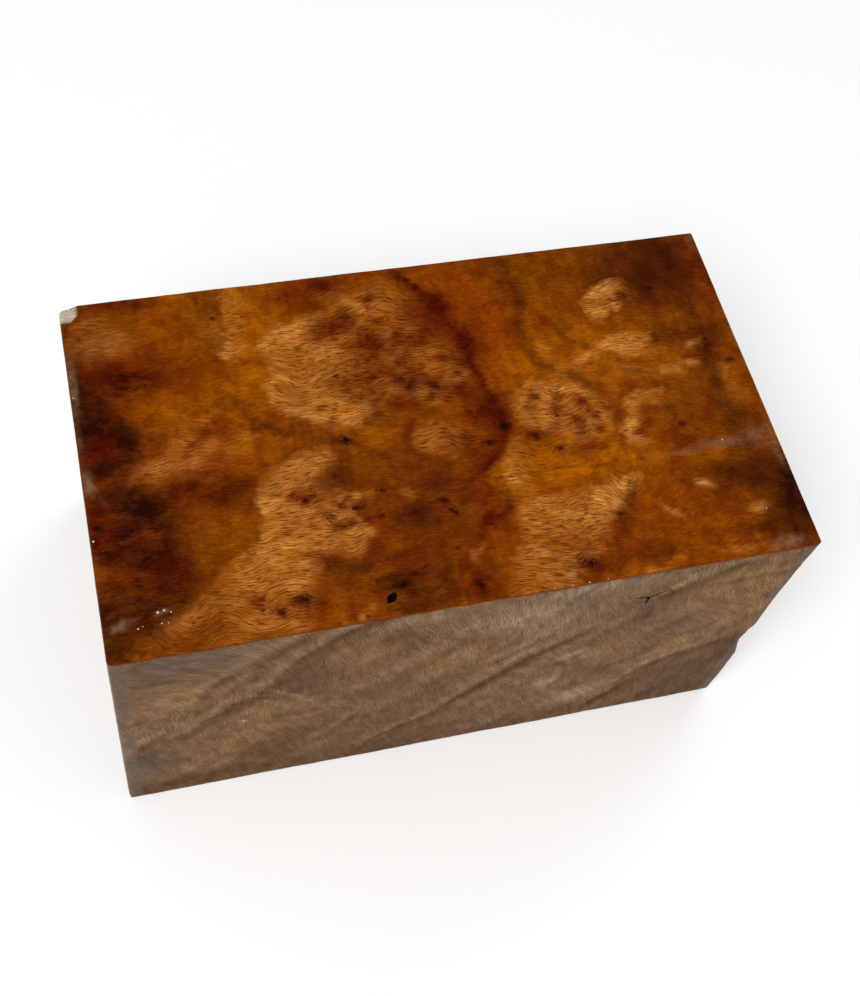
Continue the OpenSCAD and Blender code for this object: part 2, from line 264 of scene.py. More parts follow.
# Dark bands of the top: colour, strength, how far each side fades to the left and to the
# right of the way along the band, then x, y and half width along it
TOP_BANDS = (
    ("ember", 0.95, 0.5, 1.3, (0.5, 36, 1.2), (2.5, 33.5, 1.3), (4.5, 31, 1.2), (6.6, 27.5, 1.9),
     (7.6, 23, 1.8), (9.2, 20.3, 1.5), (11.8, 17.6, 2), (11.2, 15, 1.9), (10, 12.5, 1.6),
     (11.7, 9, 1.2), (12.2, 5, 1.4), (13, 1.5, 1.6), (13.1, -3, 1.5), (11.8, -7, 1.4),
     (8.4, -10, 1.5), (5, -12, 1.5)),
    ("rust", 0.85, 1.2, 1, (5, -12.5, 1.7), (4.5, -16, 1.6), (8.5, -19.3, 1.3), (5.5, -21.3, 1.4),
     (3, -24, 1.2), (1, -26.5, 1.1)),
    ("ember", 0.75, 1, 1, (9.4, -19.5, 0.8), (5.5, -21.2, 1), (3.4, -23.6, 0.8)),
    ("rust", 0.85, 1, 1, (-1.6, -30, 1), (0.2, -33, 1.4), (3, -36, 1.6)),
    ("rust", 0.55, 1, 1.4, (-3.8, 7, 1.1), (-4.4, 2, 0.8), (-5.2, -1, 0.7)),
    ("umber", 0.55, 1, 1, (-5.2, -1, 0.8), (-6.3, -4, 1), (-4.2, -7, 1.1), (-2.6, -10, 1.2),
     (-1.6, -13, 1.4)),
    ("umber", 0.7, 1, 1.6, (22.3, 36, 1.3), (23.6, 29, 1), (24, 25, 1), (22.4, 20, 1.2),
     (21.6, 15, 0.9), (23, 11, 0.9), (25.6, 8.4, 0.7)),
    ("umber", 0.45, 1, 1.4, (25.6, 8.4, 0.8), (29, 6.4, 0.9), (33.6, 3, 1), (35.6, -2, 1)),
    ("umber", 0.6, 1, 1, (37.5, 9, 0.8), (41, 5.6, 1.1), (45, 1.6, 0.9)),
    ("bark", 0.45, 1, 1.5, (57, 34, 2), (57.5, 20, 1.5), (58, 8, 1.4), (57, -4, 1.4),
     (58, -14, 1.6)),
    ("bark", 0.95, 1, 1, (-17.4, -29.9, 0.5), (-14, -29.6, 0.6), (-10, -30.2, 0.6)),
    ("char", 1, 1, 1, (-15.8, -31.3, 0.5), (-13.8, -31.5, 0.6), (-11.6, -31.8, 0.5)),
    ("bark", 0.8, 1, 1, (-13, -33.2, 0.4), (-10, -33.4, 0.5), (-7, -33, 0.4)),
    ("umber", 0.6, 1.4, 1, (-36, 11, 0.6), (-33, 6, 0.8), (-28, 2.4, 0.8), (-22, -0.2, 0.8),
     (-16, -2, 0.7), (-11, -6, 0.6)),
    ("umber", 0.65, 1, 1.6, (-27, -22.6, 0.6), (-23.6, -25.6, 0.8), (-18, -26.6, 0.7),
     (-12, -25, 0.6)),
    ("umber", 0.5, 1, 1.6, (27, 20, 0.7), (31, 15, 0.8), (34, 12.6, 0.6)),
    ("umber", 0.5, 1, 1.4, (-46, -3, 0.5), (-40, -4, 0.8), (-36, -6.4, 0.6)),
    ("umber", 0.5, 1, 1.4, (34, -19.6, 0.6), (30.6, -23, 0.8), (28, -27, 0.7)),
    ("rust", 0.6, 1, 1, (-63, -21.4, 0.5), (-59, -20.8, 0.6), (-55, -21.6, 0.4)),
    ("rust", 0.5, 1, 1, (-60.4, -15, 0.4), (-57, -14.2, 0.5), (-53.4, -14.8, 0.4)),
    ("umber", 0.8, 1, 1, (-64.4, -25.2, 0.5), (-59, -24.4, 0.6), (-54, -25.4, 0.5),
     (-50, -28, 0.5)),
    ("umber", 0.7, 1, 1, (-64, -28.6, 0.4), (-60, -27.6, 0.5), (-56, -28, 0.4)),
    ("rust", 0.5, 1, 1, (-62, -9, 0.5), (-58.6, -9.6, 0.5), (-55, -11.4, 0.4)),
    ("char", 0.7, 1, 1, (-58.6, 16.6, 0.3), (-57.6, 15.7, 0.35), (-56, 15.3, 0.3)),
    ("char", 0.8, 1, 1, (-56.3, 17.4, 0.35), (-54.5, 16.3, 0.45), (-52.5, 16, 0.4),
     (-51, 16.3, 0.3)),
    ("char", 0.5, 1, 1, (-55.5, 19.6, 0.4), (-53, 19, 0.5), (-50.5, 18.4, 0.4)),
    ("ember", 0.45, 0.6, 1, (-10, -12.2, 0.35), (4, -12.5, 0.4), (12, -13, 0.3), (26, -13.5, 0.3),
     (38, -14, 0.4)),
)

# Pale patches where the fibres run out of the top. Each has an outline, the way in which
# it fades, in degrees, the distances over which it does, and how pale it is at its crisp side.
TOP_PATCHES = (
    # Upper middle, as far as the dark band
    (((-13.5, 32.8), (-8, 35.5), (-2, 34.8), (2, 32), (5.4, 28.5), (6.4, 24), (8, 20), (9.6, 14),
      (9.6, 9), (8, 4.6), (2, 3.4), (-3, 6), (-7, 6.4), (-10.5, 4), (-13.5, 1.4), (-18, 1),
      (-22, 3.4), (-26, 5.6), (-29.3, 8.8), (-30.2, 12.8), (-28, 15.2), (-27.4, 18), (-29.4, 19.5),
      (-30.4, 22.6), (-27.6, 24.8), (-23, 26.6), (-18, 29)), 50, (6, 60), 0.96),
    # Left strip with a straight crisp edge
    (((-34.2, 37.5), (-34.5, 33), (-34.4, 29), (-34.8, 25), (-38, 21.6), (-35, 19.5), (-31, 21),
      (-28, 24), (-25.4, 27), (-24, 37.5)), 0, (1, 12), 1.0),
    # Left centre to bottom left
    (((-20, -1.6), (-25, -2.2), (-29.2, -3.6), (-33, -6.2), (-35, -9.2), (-35.8, -12.5),
      (-35, -17), (-38.2, -20), (-42, -22), (-44.6, -25), (-47, -27.4), (-52, -29.6),
      (-57, -31.8), (-61, -33.6), (-64, -36), (-64.5, -38), (-31, -38), (-28.6, -33), (-29, -29.6),
      (-27.2, -26.6), (-25.6, -22.6), (-22, -24), (-18.6, -24.6), (-17.6, -21.6), (-15, -20.4),
      (-16, -18.4), (-18, -16.6), (-18.4, -14), (-16.6, -12.6), (-20, -11.4), (-24.6, -11),
      (-22.6, -7.6), (-19, -5)), -150, (20, 56), 0.95),
    # Beside the thin dark band
    (((-4.9, -1), (-4.6, -4), (-2.6, -6.4), (0.4, -8), (5, -7), (9, -3), (11, 1.8), (8, 3.8),
      (3, 2), (-1, 1.4)), 35, (-2, 18), 0.8),
    # Right of the main band, above
    (((15.4, 3), (15.7, -0.8), (17, -3.4), (20.6, -5.6), (24, -6.8), (27, -9.4), (31, -8), (35, -3),
      (33.4, 1.6), (29, 4.6), (25, 6.4), (19.6, 5.6)), 5, (5, 44), 0.95),
    # Right of the main band, middle
    (((13.9, -4.4), (12.4, -7.8), (10.8, -11.2), (9.9, -14.6), (11.4, -17.4), (15, -17),
      (20, -14), (22, -10), (18, -7.4), (15.6, -6)), 0, (0.6, 10), 0.95),
    # Lower right, large, with a slanted crisp edge
    (((10.6, -19.4), (15, -18.7), (20, -18.9), (25, -18), (30, -17.2), (35.4, -16.7),
      (35.6, -18.4), (32.6, -20.8), (29.6, -23.2), (27.4, -26), (25.4, -29), (23.4, -31.4),
      (20, -33), (17, -38), (3.4, -38), (6.2, -34), (5.8, -31), (8.4, -28.4),
      (10, -26.4), (10.6, -23.4), (10, -21)), 190, (22, 40), 1.0),
    # Ovals and arcs at the right
    (((36, 21), (36.4, 23.6), (39.6, 26.6), (44, 27.8), (47.4, 26.6), (46.8, 24.4), (46.4, 22),
      (43.2, 20.6), (40.4, 18.6), (37.6, 17.4), (36.4, 19.4)), 0, (6, 20), 1.05),
    (((35.6, 12.6), (39.4, 14), (43, 15), (46.8, 14), (48, 12), (45, 10.4), (43, 8.6), (40, 9.4),
      (37.6, 11)), 0, (9, 24), 1.25),
    (((30, 7.8), (31.2, 9.8), (33.4, 11), (36.4, 10), (38.4, 8.4), (35, 5.6), (32, 7)),
     -20, (2, 11), 0.6),
    (((37.4, -3.2), (37.4, -1.6), (38.8, -0.2), (41.6, 0.8), (46.8, 0.9), (45.4, -0.4),
      (42.4, -0.8), (44.2, -2.6), (42.6, -2.4), (40.6, -1.4), (39.8, -2.6),
      (40, -3.4), (38.6, -3.9)), -30, (6, 15), 1.05),
    (((37.2, -4.4), (35.4, -6.6), (35.4, -9), (36.8, -11), (38.6, -11.4), (41, -10.2),
      (39.4, -8.2), (40, -6.2), (39.6, -4.6)), 0, (1.8, 8), 1.1),
    # Ringed eye and the texture above it
    (((-51.6, -5.6), (-51.4, -3.4), (-49, -1.6), (-45, -1.6), (-41.8, 0.6), (-40, 4), (-43, 7.4),
      (-46, 9), (-48.4, 7), (-47.4, 3.6), (-50, 1), (-54, -0.6), (-58, -3.4), (-53, -3.4)),
     20, (-2, 28), 0.95),
    (((-51.9, -5.2), (-51.6, -7.4), (-50, -9.2), (-47, -10), (-46, -9.3), (-49.2, -8.6),
      (-50.8, -6.8), (-50.6, -4.6)), 0, (2, 6), 0.55),
    # Streaks
    (((-46, 7.4), (-41, 8.6), (-37.4, 11.8), (-36.8, 10.4), (-39, 8), (-42, 5.8)), 0, (4, 14), 0.6),
    (((-22.6, -36), (-20.4, -34.4), (-17.8, -32.6), (-17.6, -33.4), (-20, -35.6), (-21.4, -37)),
     0, (3, 9), 0.85),
    (((-0.6, -27.6), (1.4, -26.4), (3.6, -25.4), (2.4, -27), (0.8, -28.6), (2.2, -31),
      (3.6, -33), (1.6, -31.6), (0, -29.6)), 0, (4, 9), 0.7),
    (((-64, 27), (-62, 34), (-57, 35.6), (-52, 33), (-55, 28), (-58, 24), (-61, 25)),
     -40, (-6, 18), 0.62),
)

# Dark eyes and specks of the top: x, y, half length, half width, turn, depth of tone
TOP_EYES = (
    (-36.6, 29.9, 0.6, 0.4, 0, 0.9), (-37.5, 28.1, 0.5, 0.3, 0, 0.6),
    (-48.2, 26.8, 0.6, 0.35, 0, 0.5), (-37.3, 31.2, 0.3, 0.2, 0, 0.4),
    (-23.4, 32.7, 0.7, 0.3, 0, 0.6), (-31, 31.3, 1, 0.35, 0, 0.5), (-31, 29.5, 0.8, 0.3, 0, 0.5),
    (-32.2, 18.7, 0.8, 0.35, 20, 0.6), (-33, 20.8, 0.5, 0.4, 0, 0.4),
    (-29.7, 2.5, 0.6, 0.4, 0, 0.7), (-24, 2, 0.9, 0.35, -20, 0.6), (-16, 13.1, 0.7, 0.4, 0, 0.9),
    (-9.1, 11.8, 0.9, 0.4, -5, 0.9), (-4, 10.5, 0.9, 0.7, -30, 0.5), (-2.6, 8.9, 0.8, 0.8, 0, 0.55),
    (0.4, 9, 0.7, 0.6, 0, 0.35), (2.4, 7.9, 0.8, 0.6, 0, 0.45), (16.6, 25.1, 0.45, 0.4, 0, 0.7),
    (1.2, 34.6, 0.6, 0.5, 0, 0.7), (2.4, 33.4, 0.7, 0.5, -30, 0.8), (4, 31.4, 0.5, 0.6, 0, 0.6),
    (5.4, 20.8, 0.5, 0.4, 0, 0.6), (9.7, 21.5, 0.4, 0.3, 0, 0.6), (9.3, -5.8, 1.2, 0.55, -12, 0.9),
    (18.6, -6, 1.9, 0.8, -12, 0.55), (21.8, -9.1, 1.1, 0.6, 0, 0.8),
    (23.6, -2.2, 1.1, 0.7, -20, 0.6), (-18.2, -15.1, 0.75, 0.55, 0, 0.9),
    (-16.7, -14.8, 0.55, 0.45, 0, 0.8), (-20.2, -13.5, 1.1, 0.8, 0, 0.6),
    (-21, -18.3, 1.2, 0.6, 0, 0.6), (-13.6, -17.4, 1, 0.4, 0, 0.7),
    (-16.6, -17.8, 0.8, 0.5, 0, 0.5), (-12.3, -12.3, 1.9, 0.5, 0, 0.6),
    (-23, -16.3, 1, 0.8, 30, 0.7), (-18, -0.9, 0.8, 0.4, -20, 0.7), (-17, -1.7, 0.5, 0.4, 0, 0.6),
    (-15.2, -4, 0.6, 0.3, 0, 0.4), (-2.2, -16.2, 1.1, 0.6, -18, 1.0),
    (-0.9, -18.7, 1.2, 0.45, -42, 0.95), (1, -17.2, 0.5, 0.4, 0, 0.7), (-2, -26, 0.7, 0.7, 0, 0.5),
    (-8.6, -28.7, 0.7, 0.35, 20, 0.6), (-5.6, -31.6, 0.4, 0.3, 0, 0.6),
    (-20.6, -35.9, 0.7, 0.5, 0, 0.6), (0.1, -33.6, 0.8, 1.3, 30, 0.9),
    (29.3, -24.5, 0.8, 0.5, 0, 0.8), (47.1, -7.7, 0.8, 0.6, 0, 0.7), (58.4, 10.5, 0.6, 0.5, 0, 0.7),
    (51, 24.3, 0.9, 0.5, 10, 0.7), (45.4, 23.2, 0.6, 0.9, 20, 0.6), (42.9, 22.3, 0.6, 0.3, 0, 0.6),
    (-63.4, -11.4, 0.8, 0.6, 0, 0.9), (-62.6, -16.6, 0.8, 0.6, 0, 0.8),
    (-56.3, -19, 0.7, 0.5, 0, 0.6), (-30.6, -31, 1.3, 0.6, -8, 0.9), (-35, -32.5, 0.9, 0.7, 0, 0.6),
    (-37.8, -31.5, 0.7, 0.6, 0, 0.6), (-30.4, -33, 0.6, 0.5, 0, 0.6),
    (-28.2, -11.4, 0.6, 0.5, 0, 0.6), (-26.8, -12, 0.8, 0.6, 0, 0.7),
    (21, -33.3, 2.4, 0.9, -8, 0.6), (-50, -7, 0.5, 0.4, 0, 0.5), (-47, -6.6, 1, 0.5, 20, 0.6),
    (57.2, -28, 0.6, 0.5, 0, 0.6), (12.9, -2.8, 1.3, 0.9, 20, 0.9),
    (-17, -0.9, 1.3, 0.8, -30, 0.85), (60.9, -14.2, 0.4, 0.3, 0, 0.3),
)

# Turns of the top's grain: x, y, radius, turn in degrees
TOP_TURNS = (
    (0, 30, 7, -32), (-26, 12, 5, -28), (30, -19, 5, -42), (14, -34, 7, -26), (-42, -31, 6, -30),
    (-54, -33, 6, -28), (-30, -26, 6, -14), (-62, -27, 5, 24), (-19, -22.5, 3, 32), (42, 23, 5, 14),
    (-47, -5, 5, 30), (3, -3, 5, -22), (18, -27, 6, -6), (-45, 5, 5, -18), (16, -10, 4, -40),
    (27, 0, 5, 25), (-54, 18, 5, -16), (-20, 3, 5, -20), (-28, -5, 5, 12), (40, -20, 8, 30),
)

# Smears of wax on the top, beside the ends, whose paleness is partly painted sheen: x, y, half
# length, half width, turn, strength
TOP_SMEARS_AND_SHEEN = (
    (-64.2, 18, 1.2, 8, 0, 0.7), (-63.8, -2.4, 1.4, 3, 10, 0.8), (-61.8, -6, 0.9, 2.2, 20, 0.35),
    (-61.9, -30.4, 2.2, 1.2, 15, 0.8), (-59.6, -29.8, 2, 0.7, 15, 0.4),
    (-54.4, -28.9, 1.6, 0.6, 10, 0.8), (61, -12.8, 5, 3, -8, 0.55), (54, -13.2, 7, 1.4, -3, 0.6),
    (46, -13.9, 5, 0.7, -2, 0.6), (40, -14, 4, 0.4, 0, 0.5), (63.6, -15, 1.2, 6, 0, 0.6),
    (58.6, -35.4, 4, 1.5, 4, 0.8), (49, -35, 4, 0.7, 0, 0.45), (63.4, 34.6, 1.3, 2.4, 0, 0.5),
    (62.6, 5.6, 1, 1, 0, 0.3), (34, -36.6, 4, 0.4, 0, 0.4), (-64.3, 6, 0.8, 4, 0, 0.45),
)

# Broad colour of the front: colour, x, z, half length, half width, turn, strength
FRONT_WASHES = (
    ("dry_grey", -54, 67, 14, 5, 0, 0.85), ("dry_tan", -51, 53, 9, 5, 45, 0.6),
    ("dry_tan", -44, 22, 13, 10, 60, 0.65), ("dry_tan", -36, 40, 7, 5, 0, 0.7),
    ("dry_light", -38.5, 38, 4, 3, 30, 0.35), ("dry_dark", -38, 45.4, 3.4, 1.4, 25, 0.7),
    ("dry_dark", -32, 33.4, 4.4, 1.3, 0, 0.55), ("dry_tan", -22, 60, 8, 6, 45, 0.6),
    ("plum", -28, 48, 8, 5, 30, 0.85), ("plum", -31, 54, 4, 3, 40, 0.5),
    ("dry_dark", -14.2, 61, 3.1, 4.2, -10, 0.85), ("dry_dark", 4, 53.6, 4.2, 1.7, 0, 0.55),
    ("pale", 8, 63, 8, 4, 10, 0.45), ("dry_grey", 20, 67, 12, 4, 10, 0.6),
    ("pale", 14, 57, 6, 5, 50, 0.35), ("dry_tan", 50, 57, 13, 9, 30, 0.8),
    ("plum", 43, 43, 6.5, 5, 30, 0.4), ("plum", 34.6, 54, 2.4, 6, 0, 0.6),
    ("plum", 55, 14, 13, 11, 45, 0.85), ("dry_dark", 60, 20, 5, 6, 30, 0.35),
    ("plum", -15, 38, 10, 4, 0, 0.5), ("dry_tan", 3, 44, 8, 5, 45, 0.45),
    ("dry_dark", -14, 17, 11, 6, 45, 0.5), ("dry_dark", -2, 8, 9, 3.4, 25, 0.6),
    ("dry_dark", -30, 7, 14, 3, 5, 0.45), ("dry_dark", -54, 5.4, 13, 4, 5, 0.8),
    ("dry_tan", 30, 34, 8, 8, 45, 0.35), ("slate", -59, 20, 4, 5, 0, 0.7),
    ("pale", 29, 13.4, 6, 3, 25, 0.6), ("pale", 20.4, 25, 2.6, 4, -20, 0.5),
    ("pale", 23, 38, 2.4, 1, 30, 0.5), ("dry_dark", 21, 34, 3.4, 1.2, 10, 0.6),
    ("dry_dark", 32.4, 26, 2.6, 3, 0, 0.65), ("dry_dark", 27, 28, 1.6, 3, -20, 0.45),
    ("dry_dark", 28, 6, 5, 2, 35, 0.6), ("dry_dark", 56, 4, 12, 3, 0, 0.5),
    ("wax", -41.5, 34.3, 0.5, 0.9, 10, 0.9), ("slate", 61, 33, 3, 9, 0, 0.3),
    ("dry_light", -57, 57, 6, 1.6, 10, 0.35), ("dry_dark", -5, 33, 4, 2.4, 40, 0.3),
    # Next line: two pale washes make the front lighter just below its top edge
    ("pale", -18, 69.5, 9, 2.4, 0, 0.4), ("pale", 21, 69, 10, 2.6, 0, 0.35),
    # Next line: the plum wash at x 37, z 60 is painted shadow round the drying check
    ("plum", 37, 60, 3, 3.4, 0, 0.45), ("dry_tan", 60, 43, 6, 7, 0, 0.9),
    ("dry_light", 44, 52, 5, 3, 40, 0.35), ("dry_light", 46, 33, 5, 2.4, 40, 0.4),
    ("dry_dark", 62, 27, 4, 7, 0, 0.6), ("dry_tan", -5, 48.6, 7, 5, 0, 0.75),
    ("dry_dark", -30, 24, 9, 5, 45, 0.4), ("dry_tan", -18, 50, 6, 10, 0, 0.5),
    ("dry_light", 12, 44, 5, 4, 45, 0.35), ("dry_light", 28, 37, 4, 3, 0, 0.35),
    ("plum", -48, 58, 7, 3, 0, 0.4), ("dry_dark", 28, 20, 3, 2.4, 0, 0.4),
    ("dry_dark", -36, 17, 6, 5, 40, 0.6), ("dry_dark", -41, 10, 7, 4, 30, 0.35),
    # Next line, second wash: a long dark strip makes the front darker along its base
    ("dry_tan", 49, 35, 7, 5, 30, 0.4), ("dry_dark", -10, 3, 50, 3.4, 0, 0.5),
    ("plum", -58, 62, 6, 6, 0, 0.4), ("plum", 62, 67, 4, 4, 0, 0.6),
    ("dry_dark", -36, 43, 4, 3, 40, 0.35),
)

# Dark streaks of the front, in the form of the top's bands
FRONT_BANDS = (
    ("dry_dark", 0.95, 0.7, 2, (-53, 32, 0.9), (-49, 37, 1.2), (-43.5, 43, 1.3), (-38, 48, 1.2),
     (-35, 53, 1.4), (-31, 60, 1.6), (-27, 65, 1.8), (-19, 72, 1.7)),
    ("dry_dark", 0.75, 0.8, 1.6, (-62.5, 24, 0.9), (-61, 30, 0.9), (-55.5, 35, 0.7)),
    ("dry_dark", 0.65, 0.8, 1.8, (-40, 61, 1), (-35, 66, 1.3), (-29, 71, 1.6)),
    ("dry_dark", 0.75, 0.8, 1.8, (-50, 48, 0.7), (-47.5, 53.5, 0.9), (-44.5, 57.5, 0.8)),
    ("dry_dark", 0.6, 0.8, 1.8, (-46, 49, 0.5), (-41, 54.5, 0.7), (-39, 57, 0.5)),
    ("dry_dark", 0.6, 0.8, 1.4, (-50.5, 41.5, 0.7), (-48.5, 46, 0.8)),
    ("dry_dark", 0.5, 1, 1, (-62, 42.5, 0.8), (-59.5, 43.5, 0.7)),
    ("dry_dark", 0.9, 0.7, 1.8, (-15, 8, 1.4), (-11, 12, 1.3), (-1, 20, 1.4), (4, 28, 1.3),
     (9, 35, 1.3), (15, 41, 1.1), (21, 46, 0.9), (25, 50, 0.6)),
    ("dry_dark", 0.6, 0.8, 1.8, (7, 41, 0.5), (9.5, 43.5, 0.7), (12.5, 46.5, 0.6), (16, 50, 0.5)),
    ("dry_dark", 0.5, 0.8, 1.8, (-26, 16, 0.8), (-23, 20, 0.9), (-19, 26, 0.8)),
    ("dry_dark", 0.95, 0.7, 2, (34, 7, 1), (38.6, 12, 1.5), (40, 18, 1.5), (46, 26, 1.3),
     (52, 29, 1.1), (58, 31, 0.9)),
    ("dry_dark", 0.7, 0.8, 1.8, (37, 60, 0.8), (40, 62.4, 1.1), (45, 66, 1.3), (51, 69, 0.9)),
    ("dry_dark", 0.5, 0.8, 1.6, (50, 61, 0.6), (56, 62, 0.8), (62, 61.5, 0.8)),
    ("dry_dark", 0.5, 1, 1, (19, 66.6, 0.4), (21, 68.2, 0.5)),
    ("dry_dark", 0.55, 1, 1, (24.5, 36.4, 0.5), (27.4, 38.4, 0.5)),
    ("dry_light", 0.6, 1, 1, (-36, 46.6, 0.35), (-33, 44.6, 0.45), (-30.4, 41.6, 0.45),
     (-28.2, 37, 0.4)),
    ("dry_light", 0.45, 1, 1, (-38, 43, 0.35), (-35, 41, 0.4), (-33, 38, 0.35)),
    ("dry_dark", 0.45, 1, 1, (-37, 44.8, 0.35), (-34, 42.9, 0.4), (-31.6, 39.6, 0.4)),
    ("dry_dark", 0.4, 1, 1, (-42, 23.5, 0.5), (-41.6, 26, 0.4)),
)

# Direction of the front's streaks, in degrees
STREAK_WAY = 47

# Paler stripe beside each streak: its colour, the way to it in x and z, its share of strength
STREAK_RIM = ("dry_light", -1.7, 1.6, 0.42)

# Pale specks on the top, partly wax and partly painted glints: x, y, radius
WAX_AND_GLINT_SPECKS = (
    (-55.4, -28.9, 0.24), (-54.3, -28.7, 0.2), (-53.2, -29.2, 0.14), (-55, -31, 0.13),
    (-53.9, -31.1, 0.1), (-59, -31.3, 0.15), (-58.2, -31, 0.1), (-64.3, -13.8, 0.2),
    (53.8, -12.5, 0.16), (57, -28, 0.14), (13, -36.7, 0.14), (16.4, -36.7, 0.1),
    (19.5, -36.7, 0.15), (23, -36.7, 0.1), (-64.4, 16, 0.14),
)

# Turns of the front's grain, in the form of the top's
FRONT_TURNS = (
    (-54, 62, 16, 62), (-33, 40, 8, -38), (20, 38, 10, 25), (50, 45, 14, 30), (30, 15, 10, 18),
    (-15, 25, 10, -12), (33, 61, 6, 40),
)


def linear(colour):
    """Linear light values of a palette colour."""
    share = np.array(PALETTE[colour], float) / 255
    return np.where(share <= 0.04045, share / 12.92, ((share + 0.055) / 1.055) ** 2.4)


# Noise and distances on arrays of points

def lattice_noise(points, seed):
    """Smooth noise from -1 to 1 with cells of one unit, for points in two or three dimensions."""
    cell = np.floor(points).astype(np.int64)
    part = points - cell
    part = part * part * (3 - 2 * part)
    total = np.zeros(len(points))
    for corner in itertools.product((0, 1), repeat=points.shape[1]):
        mixed = np.full(len(points), seed * 7919 + 11, np.int64)
        for axis, step in enumerate(corner):
            mixed = (mixed * 374761393 + cell[:, axis] + step) & 0xFFFFFFFF
            mixed = ((mixed ^ (mixed >> 15)) * 668265263) & 0xFFFFFFFF
        mixed = (mixed ^ (mixed >> 13)) & 0xFFFF
        weight = np.prod([part[:, a] if s else 1 - part[:, a] for a, s in enumerate(corner)], 0)
        total += weight * (mixed / 32767.5 - 1)
    return total


def fractal(points, size, seed, octaves=3):
    """Noise whose largest features measure size, with finer ones on it."""
    total = np.zeros(len(points))
    for octave in range(octaves):
        total += lattice_noise(points * 2 ** octave / size, seed + 31 * octave) / 2 ** octave
    return total / (2 - 0.5 ** (octaves - 1))


def smooth_step(low, high, value):
    share = np.clip((value - low) / (high - low), 0, 1)
    return share * share * (3 - 2 * share)


def ellipse_reach(a, b, place):
    """Distance from an ellipse's centre, as a share of the way to its outline."""
    x, y, half_a, half_b, turn = place
    cosine, sine = math.cos(math.radians(turn)), math.sin(math.radians(turn))
    along = (a - x) * cosine + (b - y) * sine
    across = (b - y) * cosine - (a - x) * sine
    return np.hypot(along / half_a, across / half_b)


def path_reach(a, b, left, right, path):
    """Distance from a path, as a share of its half width there, stretched on either side."""
    best = np.full(len(a), 1e9)
    for (x0, y0, w0), (x1, y1, w1) in zip(path, path[1:]):
        run = (x1 - x0) ** 2 + (y1 - y0) ** 2
        share = np.clip(((a - x0) * (x1 - x0) + (b - y0) * (y1 - y0)) / run, 0, 1)
        gap = np.hypot(a - x0 - share * (x1 - x0), b - y0 - share * (y1 - y0))
        lies_left = (b - y0) * (x1 - x0) > (a - x0) * (y1 - y0)
        width = (w0 + share * (w1 - w0)) * np.where(lies_left, left, right)
        best = np.minimum(best, gap / width)
    return best


def rounded_outline(points, passes=2):
    """Outline with its corners cut again and again, until it is a smooth curve."""
    outline = np.array(points, float)
    for _ in range(passes):
        after = np.roll(outline, -1, 0)
        outline = np.stack([0.75 * outline + 0.25 * after, 0.25 * outline + 0.75 * after], 1)
        outline = outline.reshape(-1, 2)
    return outline


def inside_distance(a, b, outline):
    """Signed distance to a closed outline, above zero inside it."""
    best = np.full(len(a), 1e9)
    inside = np.zeros(len(a), bool)
    for (x0, y0), (x1, y1) in zip(outline, np.roll(outline, -1, 0)):
        run = (x1 - x0) ** 2 + (y1 - y0) ** 2
        share = np.clip(((a - x0) * (x1 - x0) + (b - y0) * (y1 - y0)) / run, 0, 1)
        best = np.minimum(best, np.hypot(a - x0 - share * (x1 - x0), b - y0 - share * (y1 - y0)))
        if y0 != y1:
            crosses = ((y0 > b) != (y1 > b)) & (a < x0 + (b - y0) * (x1 - x0) / (y1 - y0))
            inside ^= crosses
    return np.where(inside, best, -best)


# The block's mesh

def grid_lines(low, high, step):
    """Even lines from low to high, in an even number of spaces, closer beside both edges."""
    first, last = low + EDGE_LINES[-1], high - EDGE_LINES[-1]
    count = 2 * round((last - first) / step / 2)
    middle = np.linspace(first, last, count + 1)[1:-1]
    starts = [low] + [low + line for line in EDGE_LINES]
    ends = [high - line for line in reversed(EDGE_LINES)] + [high]
    return np.concatenate([starts, middle, ends])


def box_grid():
    """Points and faces of the block's six sides, before its edges are eased."""
    lines = [grid_lines(LOW[a], HIGH[a], GRID_STEP[a]) for a in range(3)]
    last = [len(line) - 1 for line in lines]
    points, faces, number = [], [], {}

    def point(key):
        if key not in number:
            number[key] = len(points)
            points.append([lines[a][key[a]] for a in range(3)])
        return number[key]

    def cell(axis, level, i, j, step):
        """One face of a side, with the points that its neighbours have along its edges."""
        u_axis, v_axis = (axis + 1) % 3, (axis + 2) % 3
        loop = [(i, j), (i + step, j), (i + step, j + step), (i, j + step)]
        ring = []
        for (u0, v0), (u1, v1) in zip(loop, loop[1:] + loop[:1]):
            ring.append((u0, v0))
            on_u_edge = u0 == u1 and u0 in (0, last[u_axis])
            on_v_edge = v0 == v1 and v0 in (0, last[v_axis])
            if step == 2 and (on_u_edge or on_v_edge):
                ring.append(((u0 + u1) // 2, (v0 + v1) // 2))
        keys = []
        for u, v in ring:
            key = [0, 0, 0]
            key[axis], key[u_axis], key[v_axis] = level, u, v
            keys.append(point(tuple(key)))
        return keys if level else keys[::-1]

    for axis in range(3):
        u_last, v_last = last[(axis + 1) % 3], last[(axis + 2) % 3]
        for level in (0, last[axis]):
            shown = (axis == 2 and level) or (axis == 1 and not level)
            step = 1 if shown else 2
            for i in range(0, u_last, step):
                for j in range(0, v_last, step):
                    faces.append(cell(axis, level, i, j, step))
    return np.array(points), faces


def ease_corner(points, first, second, first_end, second_end, radius):
    """Moves what lies outside a rounded edge in to it. The edge is where two sides meet."""
    ends = np.array([HIGH[first] if first_end else LOW[first],
                     HIGH[second] if second_end else LOW[second]])
    ways = np.array([1 if first_end else -1, 1 if second_end else -1])
    centre = ends - ways * radius[:, None]
    offset = points[:, (first, second)] - centre
    reach = np.hypot(offset[:, 0], offset[:, 1])
    outside = (offset * ways > 0).all(1) & (reach > radius)
    moved = centre[outside] + offset[outside] / reach[outside, None] * radius[outside, None]
    points[np.ix_(outside, (first, second))] = moved


